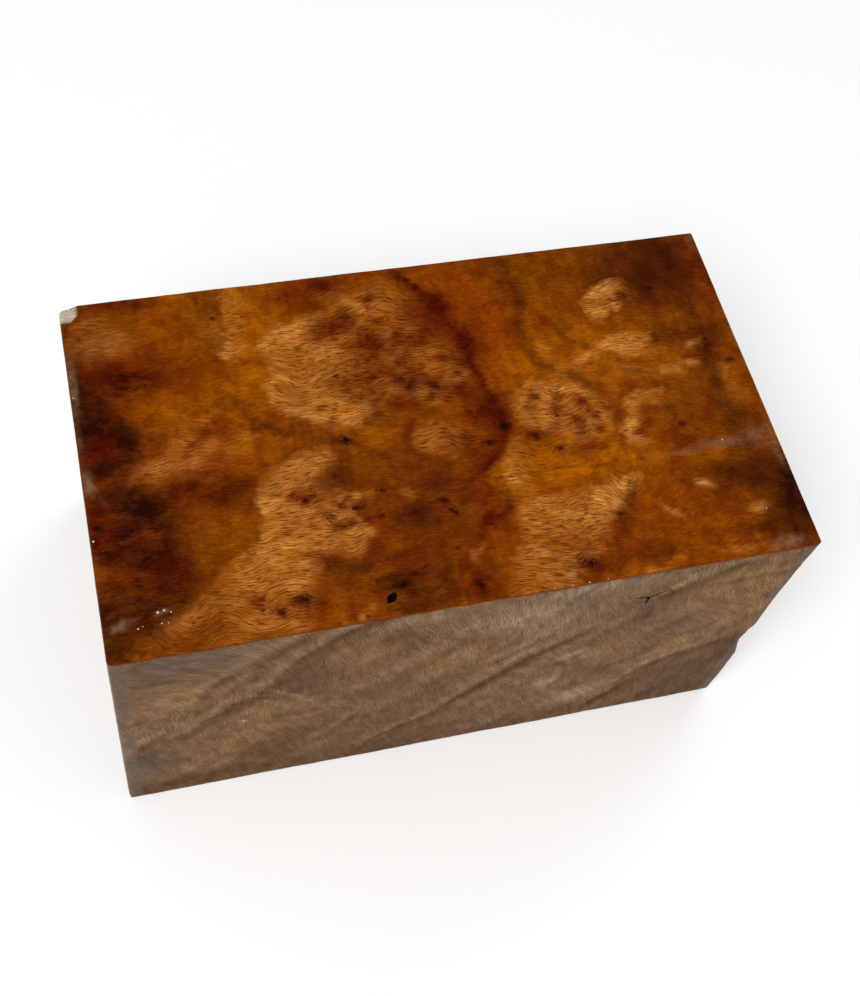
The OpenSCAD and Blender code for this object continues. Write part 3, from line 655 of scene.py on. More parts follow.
def ease_edges(points):
    """All twelve edges, each with its radius, which wanders a little along the edge."""
    wander = 1 + 0.28 * fractal(points, 9, 5, 2) + 0.2 * fractal(points, 2.2, 6, 2)
    for y_end in (0, 1):
        for z_end in (0, 1):
            radius = (PLANED_EDGE_R if z_end else BASE_EDGE_R) * wander
            ease_corner(points, 1, 2, y_end, z_end, radius)
    for x_end in (0, 1):
        for z_end in (0, 1):
            base = KNOCKED_EDGE_R if x_end else BASE_EDGE_R
            ease_corner(points, 0, 2, x_end, z_end, (PLANED_EDGE_R if z_end else base) * wander)
    for x_end in (0, 1):
        for y_end in (0, 1):
            ease_corner(points, 0, 1, x_end, y_end, UPRIGHT_EDGE_R * wander)


def wear_edge(points, height, wear, depth):
    """Hollow worn along the right front edge, with torn fibres where it is deep."""
    ball_r = (wear * wear / 4 + depth * depth) / (2 * depth)
    reach = (ball_r - depth) / math.sqrt(2)
    edge_in = UPRIGHT_EDGE_R * (1 - 1 / math.sqrt(2))
    centre = np.array([HIGH[0] - edge_in + reach, LOW[1] + edge_in - reach, height])
    offset = points - centre
    gap = np.linalg.norm(offset, axis=1)
    rough = 0.12 * depth * fractal(points * (1.6, 1.6, 0.4), 1, 9, 2)
    inside = gap < ball_r
    points[inside] = centre + offset[inside] / gap[inside, None] * (ball_r + rough[inside, None])


def drop_low_corner(points):
    """Back left corner that the plane missed: a small floor that falls outwards."""
    into_x = CORNER_SIZE[0] - (points[:, 0] - LOW[0]) + 0.15 * fractal(points, 1.5, 12, 2)
    into_y = CORNER_SIZE[1] - (HIGH[1] - points[:, 1]) + 0.15 * fractal(points, 1.5, 13, 2)
    into = np.minimum(into_x, into_y)
    both = (into_x < CORNER_R) & (into_y < CORNER_R)
    into[both] = CORNER_R - np.hypot(CORNER_R - into_x, CORNER_R - into_y)[both]
    slope = math.tan(math.radians(CORNER_FALL))
    floor = HIGH[2] - CORNER_STEP - slope * (np.maximum(into_x, 0) + np.maximum(into_y, 0))
    floor += 0.05 * fractal(points, 0.9, 14, 2)
    low = (into > 0) & (points[:, 2] > HIGH[2] - 3)
    lowered = np.minimum(points[:, 2], floor)
    share = smooth_step(0, 0.35, into)
    points[low, 2] = (points[:, 2] + (lowered - points[:, 2]) * share)[low]


def roughen(points):
    """Slight waves that the saw left in the sides and the plane left in the top."""
    inner = (LOW + HIGH) / 2
    half = (HIGH - LOW) / 2
    near = np.abs(points - inner) / half
    side = np.argmax(near, 1)
    sawn = 0.05 + 0.05 * fractal(points, 12, 21, 2)
    sawn = sawn + 0.03 * fractal(points * (1, 1, 2.5), 2.4, 22, 2)
    planed = 0.012 + 0.012 * fractal(points * (1, 0.3, 1), 14, 23, 2)
    on_top = (side == 2) & (points[:, 2] > inner[2])
    depth = np.where(on_top, planed, sawn)
    rows = np.arange(len(points))
    points[rows, side] -= np.sign(points - inner)[rows, side] * depth
    points[:] = np.clip(points, LOW + KEPT_INSIDE, HIGH - KEPT_INSIDE)


def ragged_tube(bm, stations, sides, seed):
    """Closed tube through stations, each a centre, two half axes and their directions."""
    chance = np.random.default_rng(seed)
    rings = []
    for centre, first, second in stations:
        ring = []
        for k in range(sides):
            angle = 2 * math.pi * k / sides
            swell = 1 + 0.16 * chance.uniform(-1, 1)
            place = np.array(centre) + swell * (math.cos(angle) * np.array(first)
                                                + math.sin(angle) * np.array(second))
            ring.append(bm.verts.new(place * MM))
        rings.append(ring)
    for low, high in zip(rings, rings[1:]):
        for k in range(sides):
            bm.faces.new((low[k], low[(k + 1) % sides], high[(k + 1) % sides], high[k]))
    bm.faces.new(rings[0][::-1])
    bm.faces.new(rings[-1])


def knot_cutter(bm):
    """Stretched hollow that narrows and leans as it goes down."""
    turn = math.radians(KNOT_TURN)
    along = np.array([math.cos(turn), math.sin(turn), 0])
    across = np.array([-math.sin(turn), math.cos(turn), 0])
    stations = []
    for depth, half_a, half_b in KNOT_RINGS:
        x, y = (place + lean * depth for place, lean in zip(KNOT_AT, KNOT_LEAN))
        stations.append(((x, y, HIGH[2] - depth), half_a * along, half_b * across))
    ragged_tube(bm, stations, 14, 3)


def pit_cutter(bm, x, y, radius, seed):
    """Small round hollow that narrows as it goes down."""
    stations = []
    for depth, share in PIT_RINGS:
        reach = share * radius
        stations.append(((x, y, HIGH[2] - depth), (reach, 0, 0), (0, reach, 0)))
    ragged_tube(bm, stations, 10, seed)


def check_cutter(bm):
    """Three thin arms that meet in the front face, ragged along their length."""
    steps, overlap, proud = 9, 0.35, 0.4
    for number, (angle, arm) in enumerate(CHECK_ARMS):
        turn = math.radians(angle)
        along = np.array([math.cos(turn), 0, math.sin(turn)])
        across = np.array([-math.sin(turn), 0, math.cos(turn)])
        chance = np.random.default_rng(40 + number)
        stations = []
        for k in range(steps + 1):
            share = k / steps
            place = (-overlap + share * (arm + overlap)) * along
            place = place + 0.09 * chance.uniform(-1, 1) * across * min(1, 4 * share)
            half_w = CHECK_WIDTH / 2 * (1 - share) ** 0.7 * chance.uniform(0.8, 1.25) + 0.03
            deep = CHECK_DEPTH * (1 - share) ** 0.8 + 0.15
            centre = np.array([CHECK_AT[0], LOW[1] - proud, CHECK_AT[1]]) + place
            stations.append((centre, half_w * across, (0, deep, 0)))
        ragged_tube(bm, stations, 8, 50 + number)


def mesh_from(bm, name):
    mesh = bpy.data.meshes.new(name)
    bmesh.ops.recalc_face_normals(bm, faces=bm.faces)
    bm.to_mesh(mesh)
    bm.free()
    return mesh


def add_object(name, mesh):
    obj = bpy.data.objects.new(name, mesh)
    bpy.context.scene.collection.objects.link(obj)
    return obj


def cut_marks(block, dark):
    """Cuts the marks out of the block. What is cut shows the near-black material, which is dark
    bark and painted shade.
    """
    bm = bmesh.new()
    knot_cutter(bm)
    check_cutter(bm)
    for number, pit in enumerate(PITS):
        pit_cutter(bm, *pit, 70 + number)
    cutter = add_object("cutter", mesh_from(bm, "cutter"))
    cutter.data.materials.append(dark)
    cut = block.modifiers.new("cut", "BOOLEAN")
    cut.operation = "DIFFERENCE"
    cut.solver = "EXACT"
    cut.use_self = True
    cut.material_mode = "TRANSFER"
    cut.object = cutter
    depsgraph = bpy.context.evaluated_depsgraph_get()
    whole = bpy.data.meshes.new_from_object(block.evaluated_get(depsgraph))
    block.modifiers.clear()
    block.data = whole
    bpy.data.objects.remove(cutter)


# The figure, as values on the block's points

def turned_flow(a, b, turns, eyes, seed, base_turn):
    """Places along and across the grain, which turns here and there and flows round the eyes."""
    plane = np.stack([a, b], 1)
    u = a + 1.1 * fractal(plane, 11, seed) + 0.35 * fractal(plane, 3, seed + 1)
    v = b + 1.3 * fractal(plane, 11, seed + 2) + 0.45 * fractal(plane, 3.4, seed + 3)
    for x, y, half_a, half_b, _, tone in eyes:
        bend = 0.45 * tone * (half_a + half_b) ** 2
        v = v - (b - y) * bend / ((a - x) ** 2 + (b - y) ** 2 + bend)
    for x, y, radius, turn in turns:
        weight = np.exp(-((u - x) ** 2 + (v - y) ** 2) / radius ** 2)
        spin = -math.radians(turn) * weight
        du, dv = u - x, v - y
        u = x + du * np.cos(spin) - dv * np.sin(spin)
        v = y + du * np.sin(spin) + dv * np.cos(spin)
    cosine, sine = math.cos(math.radians(base_turn)), math.sin(math.radians(base_turn))
    return u * cosine + v * sine, v * cosine - u * sine


def lay_over(colour, name, weight):
    """Lays a palette colour over others. The last column is how much is covered."""
    target = np.append(linear(name), 1)
    colour += weight[:, None] * (target - colour)


def slanted(a, b, stretch, size, seed):
    """Random values in long streaks, which run the way that the front's dark streaks do."""
    cosine, sine = math.cos(math.radians(STREAK_WAY)), math.sin(math.radians(STREAK_WAY))
    along, across = a * cosine + b * sine, b * cosine - a * sine
    return fractal(np.stack([along / stretch, across], 1), size, seed)


def paint(base, a, b, washes, bands, seed, ragged, rim=None):
    """Washes, then bands, with edges that wander, over a base colour or over nothing. A rim
    puts a paler stripe beside each band, and wears it in streaks."""
    plane = np.stack([a, b], 1)
    a = a + ragged * fractal(plane, 4, seed) + 0.5 * ragged * fractal(plane, 1.4, seed + 1, 2)
    b = b + ragged * fractal(plane, 4, seed + 2) + 0.5 * ragged * fractal(plane, 1.4, seed + 3, 2)
    colour = np.zeros((len(a), 4))
    if base:
        colour[:] = np.append(linear(base), 1)
    for name, *place, strength in washes:
        lay_over(colour, name, strength * np.exp(-0.8 * ellipse_reach(a, b, place) ** 2.6))
    worn = 0.97 + 0.4 * fractal(plane, 6, seed + 4)
    if rim:
        worn = 1 + 1.1 * slanted(a, b, 9, 1.4, seed + 4)
        colour[:, :3] *= 1 + 0.3 * slanted(a, b, 5, 3.4, seed + 5)[:, None]
    for name, strength, left, right, *path in bands:
        strength = np.clip(strength * worn, 0, 1)
        if rim:
            rim_name, shift_a, shift_b, share = rim
            reach = path_reach(a - shift_a, b - shift_b, 1, 1, path)
            lay_over(colour, rim_name, share * strength * np.exp(-0.5 * reach ** 2))
        lay_over(colour, name, strength * np.exp(-0.8 * path_reach(a, b, left, right, path) ** 2))
    return colour


def patch_values(a, b):
    """Distance into the nearest pale patch, and how pale the patch is there."""
    depth = np.full(len(a), NO_PATCH)
    pale = np.zeros(len(a))
    for outline, way, (near, far), strength in TOP_PATCHES:
        inside = inside_distance(a, b, rounded_outline(outline))
        turn = math.radians(way)
        corner = np.array(outline, float) @ (math.cos(turn), math.sin(turn))
        along = a * math.cos(turn) + b * math.sin(turn) - corner.min()
        fade = smooth_step(near, far, along)
        inside = np.where(inside > 0, inside / (1 + 4 * fade), inside)
        stronger = inside > depth
        depth = np.where(stronger, inside, depth)
        pale = np.where(stronger, strength * (1 - fade), pale)
    return depth, pale


def eye_values(a, b, eyes):
    """Tone of the dark eyes: 1 in the middle of the darkest, falling off outside it."""
    tone = np.zeros(len(a))
    for *place, strength in eyes:
        reach = ellipse_reach(a, b, place)
        tone = np.maximum(tone, strength * np.clip(1.7 - reach, 0, 1.6) / 1.6)
    return tone


def smear_and_sheen_values(a, b):
    """Thickness of the wax that is smeared over the top; its pale colour is partly painted sheen.
    """
    amount = np.zeros(len(a))
    for *place, strength in TOP_SMEARS_AND_SHEEN:
        amount = np.maximum(amount, strength * np.exp(-0.9 * ellipse_reach(a, b, place) ** 2))
    return amount


def plain_side(a, b, seed):
    """Colour of a side that the photograph hides: slanted streaks and soft patches."""
    chance = np.random.default_rng(seed)
    width = a.max() - a.min()
    tones = ("dry_tan", "dry_grey", "plum", "dry_dark", "dry_light")
    washes = []
    for _ in range(26):
        washes.append((tones[chance.integers(0, 5)], chance.uniform(a.min(), a.max()),
                       chance.uniform(0, HEIGHT), chance.uniform(4, 12), chance.uniform(3, 7),
                       chance.uniform(30, 60), chance.uniform(0.15, 0.4)))
    bands = []
    for k in range(round(width / 20)):
        x = a.min() + 20 * k + chance.uniform(-6, 6)
        y = chance.uniform(2, 40)
        path = []
        for step in range(5):
            path.append((x + 5 * step + chance.uniform(-1, 1),
                         y + 5.5 * step + chance.uniform(-1, 1), chance.uniform(0.7, 1.6)))
        bands.append(("dry_dark", chance.uniform(0.35, 0.6), 0.8, 1.8, *path))
    return paint("dry", a, b, washes, bands, seed + 1, 1.2, STREAK_RIM)


def set_values(mesh, name, values):
    """Keeps values on the mesh's points: one for each, three as a vector or four as a colour."""
    kind, field = {1: ("FLOAT", "value"), 3: ("FLOAT_VECTOR", "vector"),
                   4: ("FLOAT_COLOR", "color")}[values.size // len(values)]
    layer = mesh.attributes.new(name, kind, "POINT")
    layer.data.foreach_set(field, np.ascontiguousarray(values, np.float32).ravel())


def side_of_points(points):
    """Number of the side that each point lies nearest to. The top reaches round its edges."""
    gaps = np.stack([points[:, 0] - LOW[0], HIGH[0] - points[:, 0], points[:, 1] - LOW[1],
                     HIGH[1] - points[:, 1], points[:, 2] - LOW[2], HIGH[2] - points[:, 2]], 1)
    gaps[:, TOP] -= 0.25
    return np.argmin(gaps, 1)


def over_low_corner(x, y, margin=0.0):
    """Whether places lie within the low corner's outline."""
    return (x < LOW[0] + CORNER_SIZE[0] + margin) & (y > HIGH[1] - CORNER_SIZE[1] - margin)


def give_figure(mesh):
    """Works out the figure at each point of the mesh, and keeps it there for the materials."""
    count = len(mesh.vertices)
    points = np.empty(count * 3, np.float32)
    mesh.vertices.foreach_get("co", points)
    points = points.reshape(-1, 3).astype(float) / MM
    side = side_of_points(points)
    x, y, z = points.T
    colour, cloud = np.zeros((count, 4)), np.zeros((count, 4))
    flow = np.zeros((count, 3))
    depth, pale = np.full(count, NO_PATCH), np.zeros(count)
    eyes, smear_and_sheen = np.zeros(count), np.zeros(count)

    on = side == TOP
    spots = [("rust", spot_x, spot_y, 0.9 * radius, 0.8 * radius, 0, 0.85)
             for spot_x, spot_y, radius in TOP_SPOTS]
    colour[on] = paint("amber", x[on], y[on], TOP_WASHES, (), 100, 1.0)
    cloud[on] = paint(None, x[on], y[on], [*TOP_CLOUDS, *spots], TOP_BANDS, 104, 0.7)
    flow[on, 0], flow[on, 1] = turned_flow(x[on], y[on], TOP_TURNS, TOP_EYES, 110, 0)
    depth[on], pale[on] = patch_values(x[on], y[on])
    eyes[on] = eye_values(x[on], y[on], TOP_EYES)
    smear_and_sheen[on] = smear_and_sheen_values(x[on], y[on])

    on = side == FRONT
    colour[on] = paint("dry", x[on], z[on], FRONT_WASHES, FRONT_BANDS, 120, 0.9, STREAK_RIM)
    flow[on, 0], flow[on, 1] = turned_flow(x[on], z[on], FRONT_TURNS, (), 130, -72)

    hidden = ((LEFT, y, z, 140), (RIGHT, -y, z, 150), (BACK, -x, z, 160),
              (BASE, x, y + WIDTH / 2, 170))
    for number, a, b, seed in hidden:
        on = side == number
        colour[on] = plain_side(a[on], b[on], seed)
        flow[on, 0], flow[on, 1] = turned_flow(a[on], b[on], (), (), seed + 5, -65)
    # The sides' noise is kept apart, so that no side repeats another
    flow[:, 2] = side * 40

    in_corner = over_low_corner(x, y, 0.3)
    in_corner &= (z > HIGH[2] - CORNER_WAX[1]) & (z < HIGH[2] - CORNER_WAX[0])
    colour[in_corner] = np.append(linear("wax"), 1)
    cloud[in_corner] = 0
    end_gap = np.minimum(x - LOW[0], HIGH[0] - x)
    waxed = 1 - smooth_step(*WAX_FADE, end_gap + 0.8 * fractal(points, 5, 180, 2))
    waxed[(side == LEFT) | (side == RIGHT)] = 1
    waxed[(side == TOP) | in_corner] = 0
    oil = 1 - smooth_step(*OIL_FADE, HIGH[2] - z + 0.5 * fractal(points, 2.5, 190, 2))
    oil[in_corner] = 0

    figure = {"tint": colour, "cloud": cloud, "flow": flow, "patch_depth": depth,
              "patch_pale": pale, "eye_tone": eyes, "smear_and_sheen": smear_and_sheen, "waxed": waxed, "oil": oil}
    for name, values in figure.items():
        set_values(mesh, name, values)


# Node helpers

def add(tree, kind, inputs=None, **settings):
    """Adds a node. Its inputs are values, or sockets that are linked."""
    made = tree.nodes.new("ShaderNode" + kind)
    for name, value in settings.items():
        setattr(made, name, value)
    for name, value in (inputs or {}).items():
        socket = made.inputs[name]
        if isinstance(value, bpy.types.NodeSocket):
            tree.links.new(value, socket)
        else:
            socket.default_value = value
    return made


def value_of(tree, name, output="Fac"):
    """Values that give_figure keeps on the mesh."""
    return add(tree, "Attribute", attribute_name=name).outputs[output]


def calc(tree, first, second, operation="ADD"):
    return add(tree, "Math", {0: first, 1: second}, operation=operation).outputs[0]


def product(tree, *values):
    total = values[0]
    for value in values[1:]:
        total = calc(tree, total, value, "MULTIPLY")
    return total


def ramp(tree, value, low, high, start=0.0, end=1.0):
    """Smooth change from start to end as a value goes from low to high."""
    made = add(tree, "MapRange", {"Value": value, "From Min": low, "From Max": high,
                                  "To Min": start, "To Max": end}, interpolation_type="SMOOTHSTEP")
    return made.outputs["Result"]


def blend(tree, share, first, second, mode="MIX"):
    made = add(tree, "Mix", {0: share, 6: first, 7: second}, data_type="RGBA", blend_type=mode)
    return made.outputs[2]


def stretched(tree, socket, scale):
    return add(tree, "Mapping", {"Vector": socket, "Scale": scale}).outputs[0]


def noise(tree, vector, scale=1.0, detail=2.0, roughness=0.5, distortion=0.0):
    made = add(tree, "TexNoise", {"Vector": vector, "Scale": scale, "Detail": detail,
                                  "Roughness": roughness, "Distortion": distortion})
    return made.outputs["Fac"]


def drawn_noise(tree, vector, scales, detail=2.0, roughness=0.5, distortion=0.0):
    """Noise with its own scale along each axis, so that it is drawn out into streaks."""
    return noise(tree, stretched(tree, vector, scales), 1.0, detail, roughness, distortion)


def rgba(colour):
    return (*linear(colour), 1.0)


def shaded(tree, colour, value, green=1.4, blue=1.7):
    """Colour times a value. Green and blue follow it more, so that dark wood is redder."""
    greener, bluer = calc(tree, value, green, "POWER"), calc(tree, value, blue, "POWER")
    factors = add(tree, "CombineColor", {0: value, 1: greener, 2: bluer})
    return blend(tree, 1.0, colour, factors.outputs[0], "MULTIPLY")


def bumped(tree, height, strength, distance):
    inputs = {"Strength": strength, "Distance": distance, "Height": height}
    return add(tree, "Bump", inputs).outputs[0]


def new_material(name, **values):
    """Material with one Principled shader, whose even values are set on its own sockets."""
    material = bpy.data.materials.new(name)
    material.use_nodes = True
    tree = material.node_tree
    shader = tree.nodes["Principled BSDF"]
    for socket, value in values.items():
        shader.inputs[socket.replace("_", " ")].default_value = value
    return material, tree, shader


def link_shader(tree, shader, **sockets):
    """Links what differs over the surface to the shader."""
    for name, socket in sockets.items():
        tree.links.new(socket, shader.inputs[name.replace("_", " ")])


def grain_fields(tree, scales, detail, roughness):
    """Places in millimetres and along the grain, then fine fibre and short dark pores."""
    place = stretched(tree, add(tree, "TexCoord").outputs["Object"], (1 / MM, 1 / MM, 1 / MM))
    flow = value_of(tree, "flow", "Vector")
    fibre = drawn_noise(tree, flow, scales, detail, roughness, 0.12)
    pores = drawn_noise(tree, flow, (0.46, 4.9, 1), 1.4, 0.5, 0.12)
    return place, flow, fibre, pores


def ripples(tree, flow, place, spacing, wander):
    """Fine lines of growth, which wander, crowd and part."""
    across = add(tree, "SeparateXYZ", {"Vector": flow}).outputs["Y"]
    drift = calc(tree, noise(tree, place, 0.16, 3, 0.55), wander, "MULTIPLY")
    phase = calc(tree, calc(tree, across, drift), math.tau / spacing, "MULTIPLY")
    return calc(tree, phase, 0.0, "SINE")


# Materials

def plain_figure(tree, place, flow, fibre):
    """Wood between the pale patches: soft changes of tone, short flecks and a faint curl."""
    mottle = ramp(tree, noise(tree, place, 0.34, 3, 0.5, 0.4), 0.28, 0.72, 0.77, 1.23)
    flecks = ramp(tree, drawn_noise(tree, flow, (0.95, 2.2, 1), 4, 0.7), 0.28, 0.72, 0.82, 1.2)
    curl = drawn_noise(tree, place, (0.5, 0.06, 1), 3, 0.6)
    where = ramp(tree, noise(tree, place, 0.06, 1), 0.4, 0.6, 0.2, 1.0)
    curl = calc(tree, 1.0, product(tree, ramp(tree, curl, 0.3, 0.7, -0.14, 0.14), where))
    hair = ramp(tree, fibre, 0.3, 0.7, 1.14, 0.86)
    lines = ripples(tree, flow, place, 1.2, 6.0)
    lines = product(tree, lines, ramp(tree, where, 0.2, 1.0, 1.0, 0.3))
    value = product(tree, mottle, flecks, curl, hair, ramp(tree, lines, -1.0, 1.0, 0.95, 1.05))
    return shaded(tree, value_of(tree, "tint", "Color"), value), product(tree, mottle, flecks)


def pale_patches(tree, tone, place, flow, fibre):
    """Pale patches of golden wood, whose outline is ragged and fades inwards."""
    ragged = ramp(tree, noise(tree, place, 0.3, 2, 0.5), 0.2, 0.8, -0.6, 0.6)
    torn = ramp(tree, drawn_noise(tree, flow, (0.5, 1.2, 1)), 0.2, 0.8, -0.5, 0.5)
    depth = calc(tree, value_of(tree, "patch_depth"), calc(tree, ragged, torn))
    strength = value_of(tree, "patch_pale")
    breaks = drawn_noise(tree, flow, (0.1, 0.17, 1), 4, 0.6)
    breaks = ramp(tree, breaks, 0.32, 0.62, 0.46, 1.0)
    width = ramp(tree, noise(tree, place, 0.15, 1), 0.46, 0.64, 1.0, 3.4)
    mask = ramp(tree, depth, -0.8, width)
    pale = product(tree, mask, strength, breaks)
    rim = product(tree, ramp(tree, depth, 0.6, 4.5, 0.3, 0.0), strength)
    outside = product(tree, ramp(tree, depth, -3.4, -1.2),
                      ramp(tree, depth, -1.0, 0.2, 1.0, 0.0), strength)
    tone = shaded(tree, tone, ramp(tree, outside, 0.0, 1.0, 1.0, 0.86))
    sheen = ramp(tree, drawn_noise(tree, flow, (0.14, 0.5, 1), 5, 0.62), 0.3, 0.7)
    share = calc(tree, calc(tree, sheen, rim), calc(tree, strength, 1.0, "SUBTRACT"))
    golden = blend(tree, share, rgba("honey"), rgba("tan"))
    golden = shaded(tree, golden, ramp(tree, fibre, 0.32, 0.68, 1.36, 0.64), 1.2, 1.4)
    shown = product(tree, mask, ramp(tree, pale, 0.0, 0.5, 0.4, 1.0))
    return blend(tree, pale, tone, golden), shown


def pore_dashes(tree, tone, pores, mask):
    """Short dark pores, which are cut lengthways in the pale patches and hardly show elsewhere."""
    dashes = product(tree, ramp(tree, pores, 0.52, 0.6), ramp(tree, mask, 0.0, 0.8, 0.25, 1.0))
    return shaded(tree, tone, ramp(tree, dashes, 0.0, 1.0, 1.0, 0.44), 1.25, 1.4)


def dark_clouds(tree, tone, value, fibre):
    """Dark clouds and bands over the rest, as flecked as the wood is."""
    cloud = add(tree, "Attribute", attribute_name="cloud").outputs
    cover = product(tree, cloud["Alpha"], ramp(tree, value, 0.75, 1.25, 1.08, 0.92))
    # The cloud's colour was laid over black, so it is divided by how much it covers
    share = calc(tree, 1.0, calc(tree, cloud["Alpha"], 0.001, "MAXIMUM"), "DIVIDE")
    full = add(tree, "VectorMath", {0: cloud["Color"], "Scale": share}, operation="SCALE")
    flecked = product(tree, value, ramp(tree, fibre, 0.3, 0.7, 1.4, 0.66))
    veil = shaded(tree, full.outputs[0], flecked)
    return blend(tree, calc(tree, cover, 1.0, "MINIMUM"), tone, veil)


def marks_on_top(tree, tone, place):
    """Dark eyes, smears of wax that are partly painted sheen, and a few pale specks that are partly
    wax and partly painted glints.
    """
    ragged = ramp(tree, noise(tree, place, 1.4, 4, 0.65), 0.2, 0.8, -0.32, 0.32)
    eye = ramp(tree, calc(tree, value_of(tree, "eye_tone"), ragged), 0.12, 0.75, 0.0, 0.85)
    tone = blend(tree, eye, tone, rgba("char"))
    # Smears of wax, whose pale film is partly painted sheen
    patchy = ramp(tree, noise(tree, place, 0.9, 5, 0.7), 0.3, 0.7, 0.45, 1.0)
    film = ramp(tree, product(tree, patchy, value_of(tree, "smear_and_sheen")), 0.08, 0.75, 0.0, 0.6)
    tone = blend(tree, film, tone, rgba("smear_and_sheen"))
    # Near-white specks: partly wax, partly painted glints
    nearest = 0.0
    for x, y, radius in WAX_AND_GLINT_SPECKS:
        gap = add(tree, "VectorMath", {0: place, 1: (x, y, HIGH[2])}, operation="DISTANCE")
        speck = ramp(tree, gap.outputs["Value"], 0.6 * radius, 1.2 * radius, 1.0, 0.0)
        nearest = calc(tree, nearest, speck, "MAXIMUM")
    return blend(tree, nearest, tone, rgba("speck"))


def oiled_figure():
    """Planed and oiled wood of the top."""
    material, tree, shader = new_material("oiled_figure", Specular_IOR_Level=0.0,
                                          Coat_Roughness=0.1, Coat_IOR=1.3, Coat_Weight=0.07)
    place, flow, fibre, pores = grain_fields(tree, (0.36, 4.0, 1), 3, 0.64)
    tone, value = plain_figure(tree, place, flow, fibre)
    tone, mask = pale_patches(tree, tone, place, flow, fibre)
    tone = dark_clouds(tree, tone, value, fibre)
    tone = pore_dashes(tree, tone, pores, mask)
    tone = marks_on_top(tree, tone, place)
    link_shader(tree, shader, Base_Color=tone, Roughness=ramp(tree, fibre, 0.3, 0.7, 0.36, 0.5),
                Normal=bumped(tree, pores, 0.12, 0.00004))
    return material


def dry_wood(name, shine):
    """Sawn wood with no oil, which a thin film of wax greys beside the ends and on them."""
    material, tree, shader = new_material(name, Specular_IOR_Level=0.06, Coat_Roughness=0.4,
                                          Coat_Weight=shine)
    place, flow, fibre, pores = grain_fields(tree, (0.14, 4.2, 1), 4, 0.66)
    height = add(tree, "SeparateXYZ", {"Vector": place}).outputs["Z"]
    strong = product(tree, ramp(tree, noise(tree, place, 0.11, 3, 0.5), 0.4, 0.62, 0.15, 1.0),
                     ramp(tree, height, 20.0, 60.0, 0.5, 1.0))
    lines = product(tree, ripples(tree, flow, place, 0.8, 6.0), strong)
    ripple = ramp(tree, lines, -1.0, 1.0, 0.84, 1.16)
    waves = ramp(tree, drawn_noise(tree, flow, (0.16, 0.6, 1), 4, 0.6), 0.28, 0.72, 0.8, 1.22)
    clouds = ramp(tree, noise(tree, place, 0.3, 5, 0.64), 0.28, 0.72, 0.84, 1.17)
    crumbs = ramp(tree, noise(tree, place, 2.2, 3, 0.7), 0.3, 0.7, 0.95, 1.05)
    hair = ramp(tree, fibre, 0.3, 0.7, 1.2, 0.82)
    value = product(tree, waves, clouds, crumbs, hair, ripple)
    tone = shaded(tree, value_of(tree, "tint", "Color"), value, 1.12, 1.2)
    dashes = product(tree, ramp(tree, pores, 0.57, 0.63), 0.45)
    tone = blend(tree, dashes, tone, rgba("dry_dark"))
    waxed = value_of(tree, "waxed")
    film = product(tree, noise(tree, place, 0.5, 4, 0.65), waxed)
    tone = blend(tree, ramp(tree, film, 0.2, 0.65, 0.0, 0.6), tone, rgba("film"))
    oiled = product(tree, value_of(tree, "oil"), ramp(tree, clouds, 0.86, 1.15, 0.55, 0.95))
    tone = blend(tree, oiled, tone, rgba("rust"))
    link_shader(tree, shader, Base_Color=tone, Roughness=ramp(tree, waxed, 0.2, 0.9, 0.8, 0.5),
                Normal=bumped(tree, calc(tree, crumbs, hair), 0.4, 0.0002))
    return material


def hollow_bark_and_shade():
    """Near-black inside the check, the knot hole and the pits: dark bark in the pits and the knot,
    and painted shade deep in all three.
    """
    material, tree, shader = new_material("hollow_bark_and_shade", Specular_IOR_Level=0.0)
    place = add(tree, "TexCoord").outputs["Object"]
    crumbs = noise(tree, place, 1400, 4, 0.7)
    # Near-black colour: painted shade of the deep hollows, over dark bark
    tone = blend(tree, crumbs, (0.004, 0.002, 0.001, 1), (0.02, 0.009, 0.004, 1))
    link_shader(tree, shader, Base_Color=tone, Roughness=ramp(tree, crumbs, 0.3, 0.7, 0.7, 0.95),
                Normal=bumped(tree, crumbs, 0.6, 0.0002))
    return material


def floor_material():
    """Pale floor, which the camera sees fade to white far away from the block."""
    material, tree, shader = new_material("pale_floor", Roughness=0.9, Specular_IOR_Level=0.1,
                                          Emission_Color=(1, 1, 1, 1))
    place = add(tree, "TexCoord").outputs["Object"]
    away = add(tree, "VectorMath", {0: place}, operation="LENGTH").outputs["Value"]
    seen = add(tree, "LightPath").outputs["Is Camera Ray"]
    grain = noise(tree, place, 6, 3)
    tone = blend(tree, grain, (0.94, 0.94, 0.94, 1), (0.96, 0.96, 0.96, 1))
    link_shader(tree, shader, Base_Color=tone,
                Emission_Strength=product(tree, ramp(tree, away, 0.4, 1.3), seen))
    return material


# The block

def choose_materials(mesh, names):
    """Top, sides, ends and low corner, by where each face lies and looks."""
    for face in mesh.polygons:
        if mesh.materials[face.material_index].name == "hollow_bark_and_shade":
            continue
        x, y, z = (part / MM for part in face.center)
        low_floor = over_low_corner(x, y) and z < HIGH[2] - 0.1 and face.normal.z > 0.5
        if abs(face.normal.x) > 0.75 or low_floor:
            face.material_index = names.index("waxed_end")
        elif face.normal.z > 0.6 and z > HIGH[2] - 2:
            face.material_index = names.index("oiled_figure")
        else:
            face.material_index = names.index("sawn_side")


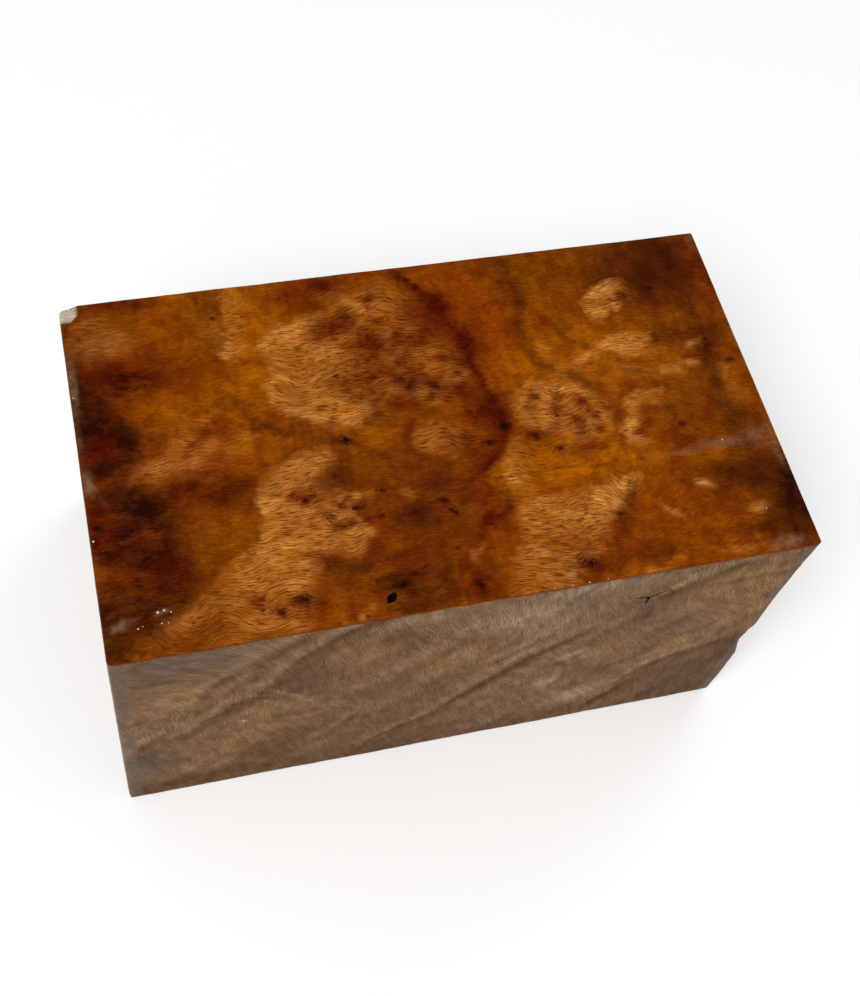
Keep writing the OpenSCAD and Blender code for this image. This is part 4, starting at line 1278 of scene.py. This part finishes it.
def make_block():
    points, faces = box_grid()
    ease_edges(points)
    for wear in WEARS:
        wear_edge(points, *wear)
    drop_low_corner(points)
    roughen(points)
    mesh = bpy.data.meshes.new("burl_block")
    mesh.from_pydata((points * MM).tolist(), [], faces)
    mesh.validate()
    block = add_object("burl_block", mesh)
    materials = [oiled_figure(), dry_wood("sawn_side", 0.0), dry_wood("waxed_end", 0.25)]
    for material in materials:
        block.data.materials.append(material)
    cut_marks(block, hollow_bark_and_shade())
    choose_materials(block.data, [material.name for material in materials])
    give_figure(block.data)
    block.data.shade_smooth()
    block.data.set_sharp_from_angle(angle=math.radians(38))
    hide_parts("blank")
    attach(block, "root")


# The set

def make_floor():
    bm = bmesh.new()
    bmesh.ops.create_grid(bm, x_segments=8, y_segments=8, size=2.5)
    floor = add_object("floor", mesh_from(bm, "floor"))
    floor.data.materials.append(floor_material())


def make_lamp(name, place, size, power):
    lamp = bpy.data.lights.new(name, "AREA")
    lamp.shape = "DISK"
    lamp.size = size
    lamp.energy = power
    obj = add_object(name, lamp)
    obj.location = place
    aim = Vector((0, 0, HEIGHT * MM / 2)) - obj.location
    obj.rotation_euler = aim.to_track_quat("-Z", "Y").to_euler()


def make_world(light, white):
    """Even light from all round, which the camera and mirror rays see as white."""
    world = bpy.data.worlds.new("studio")
    bpy.context.scene.world = world
    world.use_nodes = True
    tree = world.node_tree
    path = add(tree, "LightPath").outputs
    seen = calc(tree, path["Is Camera Ray"], path["Is Glossy Ray"], "MAXIMUM")
    seen = calc(tree, seen, path["Is Transmission Ray"], "MAXIMUM")
    strength = add(tree, "MapRange", {"Value": seen, "To Min": light, "To Max": white}).outputs[0]
    tree.links.new(strength, tree.nodes["Background"].inputs["Strength"])
    tree.nodes["Background"].inputs["Color"].default_value = (1, 1, 1, 1)


def make_camera():
    camera = bpy.data.cameras.new("camera")
    camera.lens = CAMERA_LENS
    camera.shift_x, camera.shift_y = CAMERA_SHIFT
    camera.clip_start = 0.01
    obj = add_object("camera", camera)
    at, target = Vector(CAMERA_AT) * MM, Vector(CAMERA_LOOKS_AT) * MM
    aim = (target - at).to_track_quat("-Z", "Y").to_matrix()
    roll = Matrix.Rotation(math.radians(CAMERA_ROLL), 3, "Z")
    obj.matrix_world = Matrix.Translation(at) @ (aim @ roll).to_4x4()
    bpy.context.scene.camera = obj


make_camera()
make_floor()
make_world(light=0.5, white=1.0)
make_lamp("key_lamp", place=(-0.35, -0.4, 0.85), size=0.5, power=7.0)
make_lamp("fill_lamp", place=(0.7, 0.6, 0.5), size=0.6, power=2.0)
make_block()
bpy.context.scene.view_settings.view_transform = "Standard"
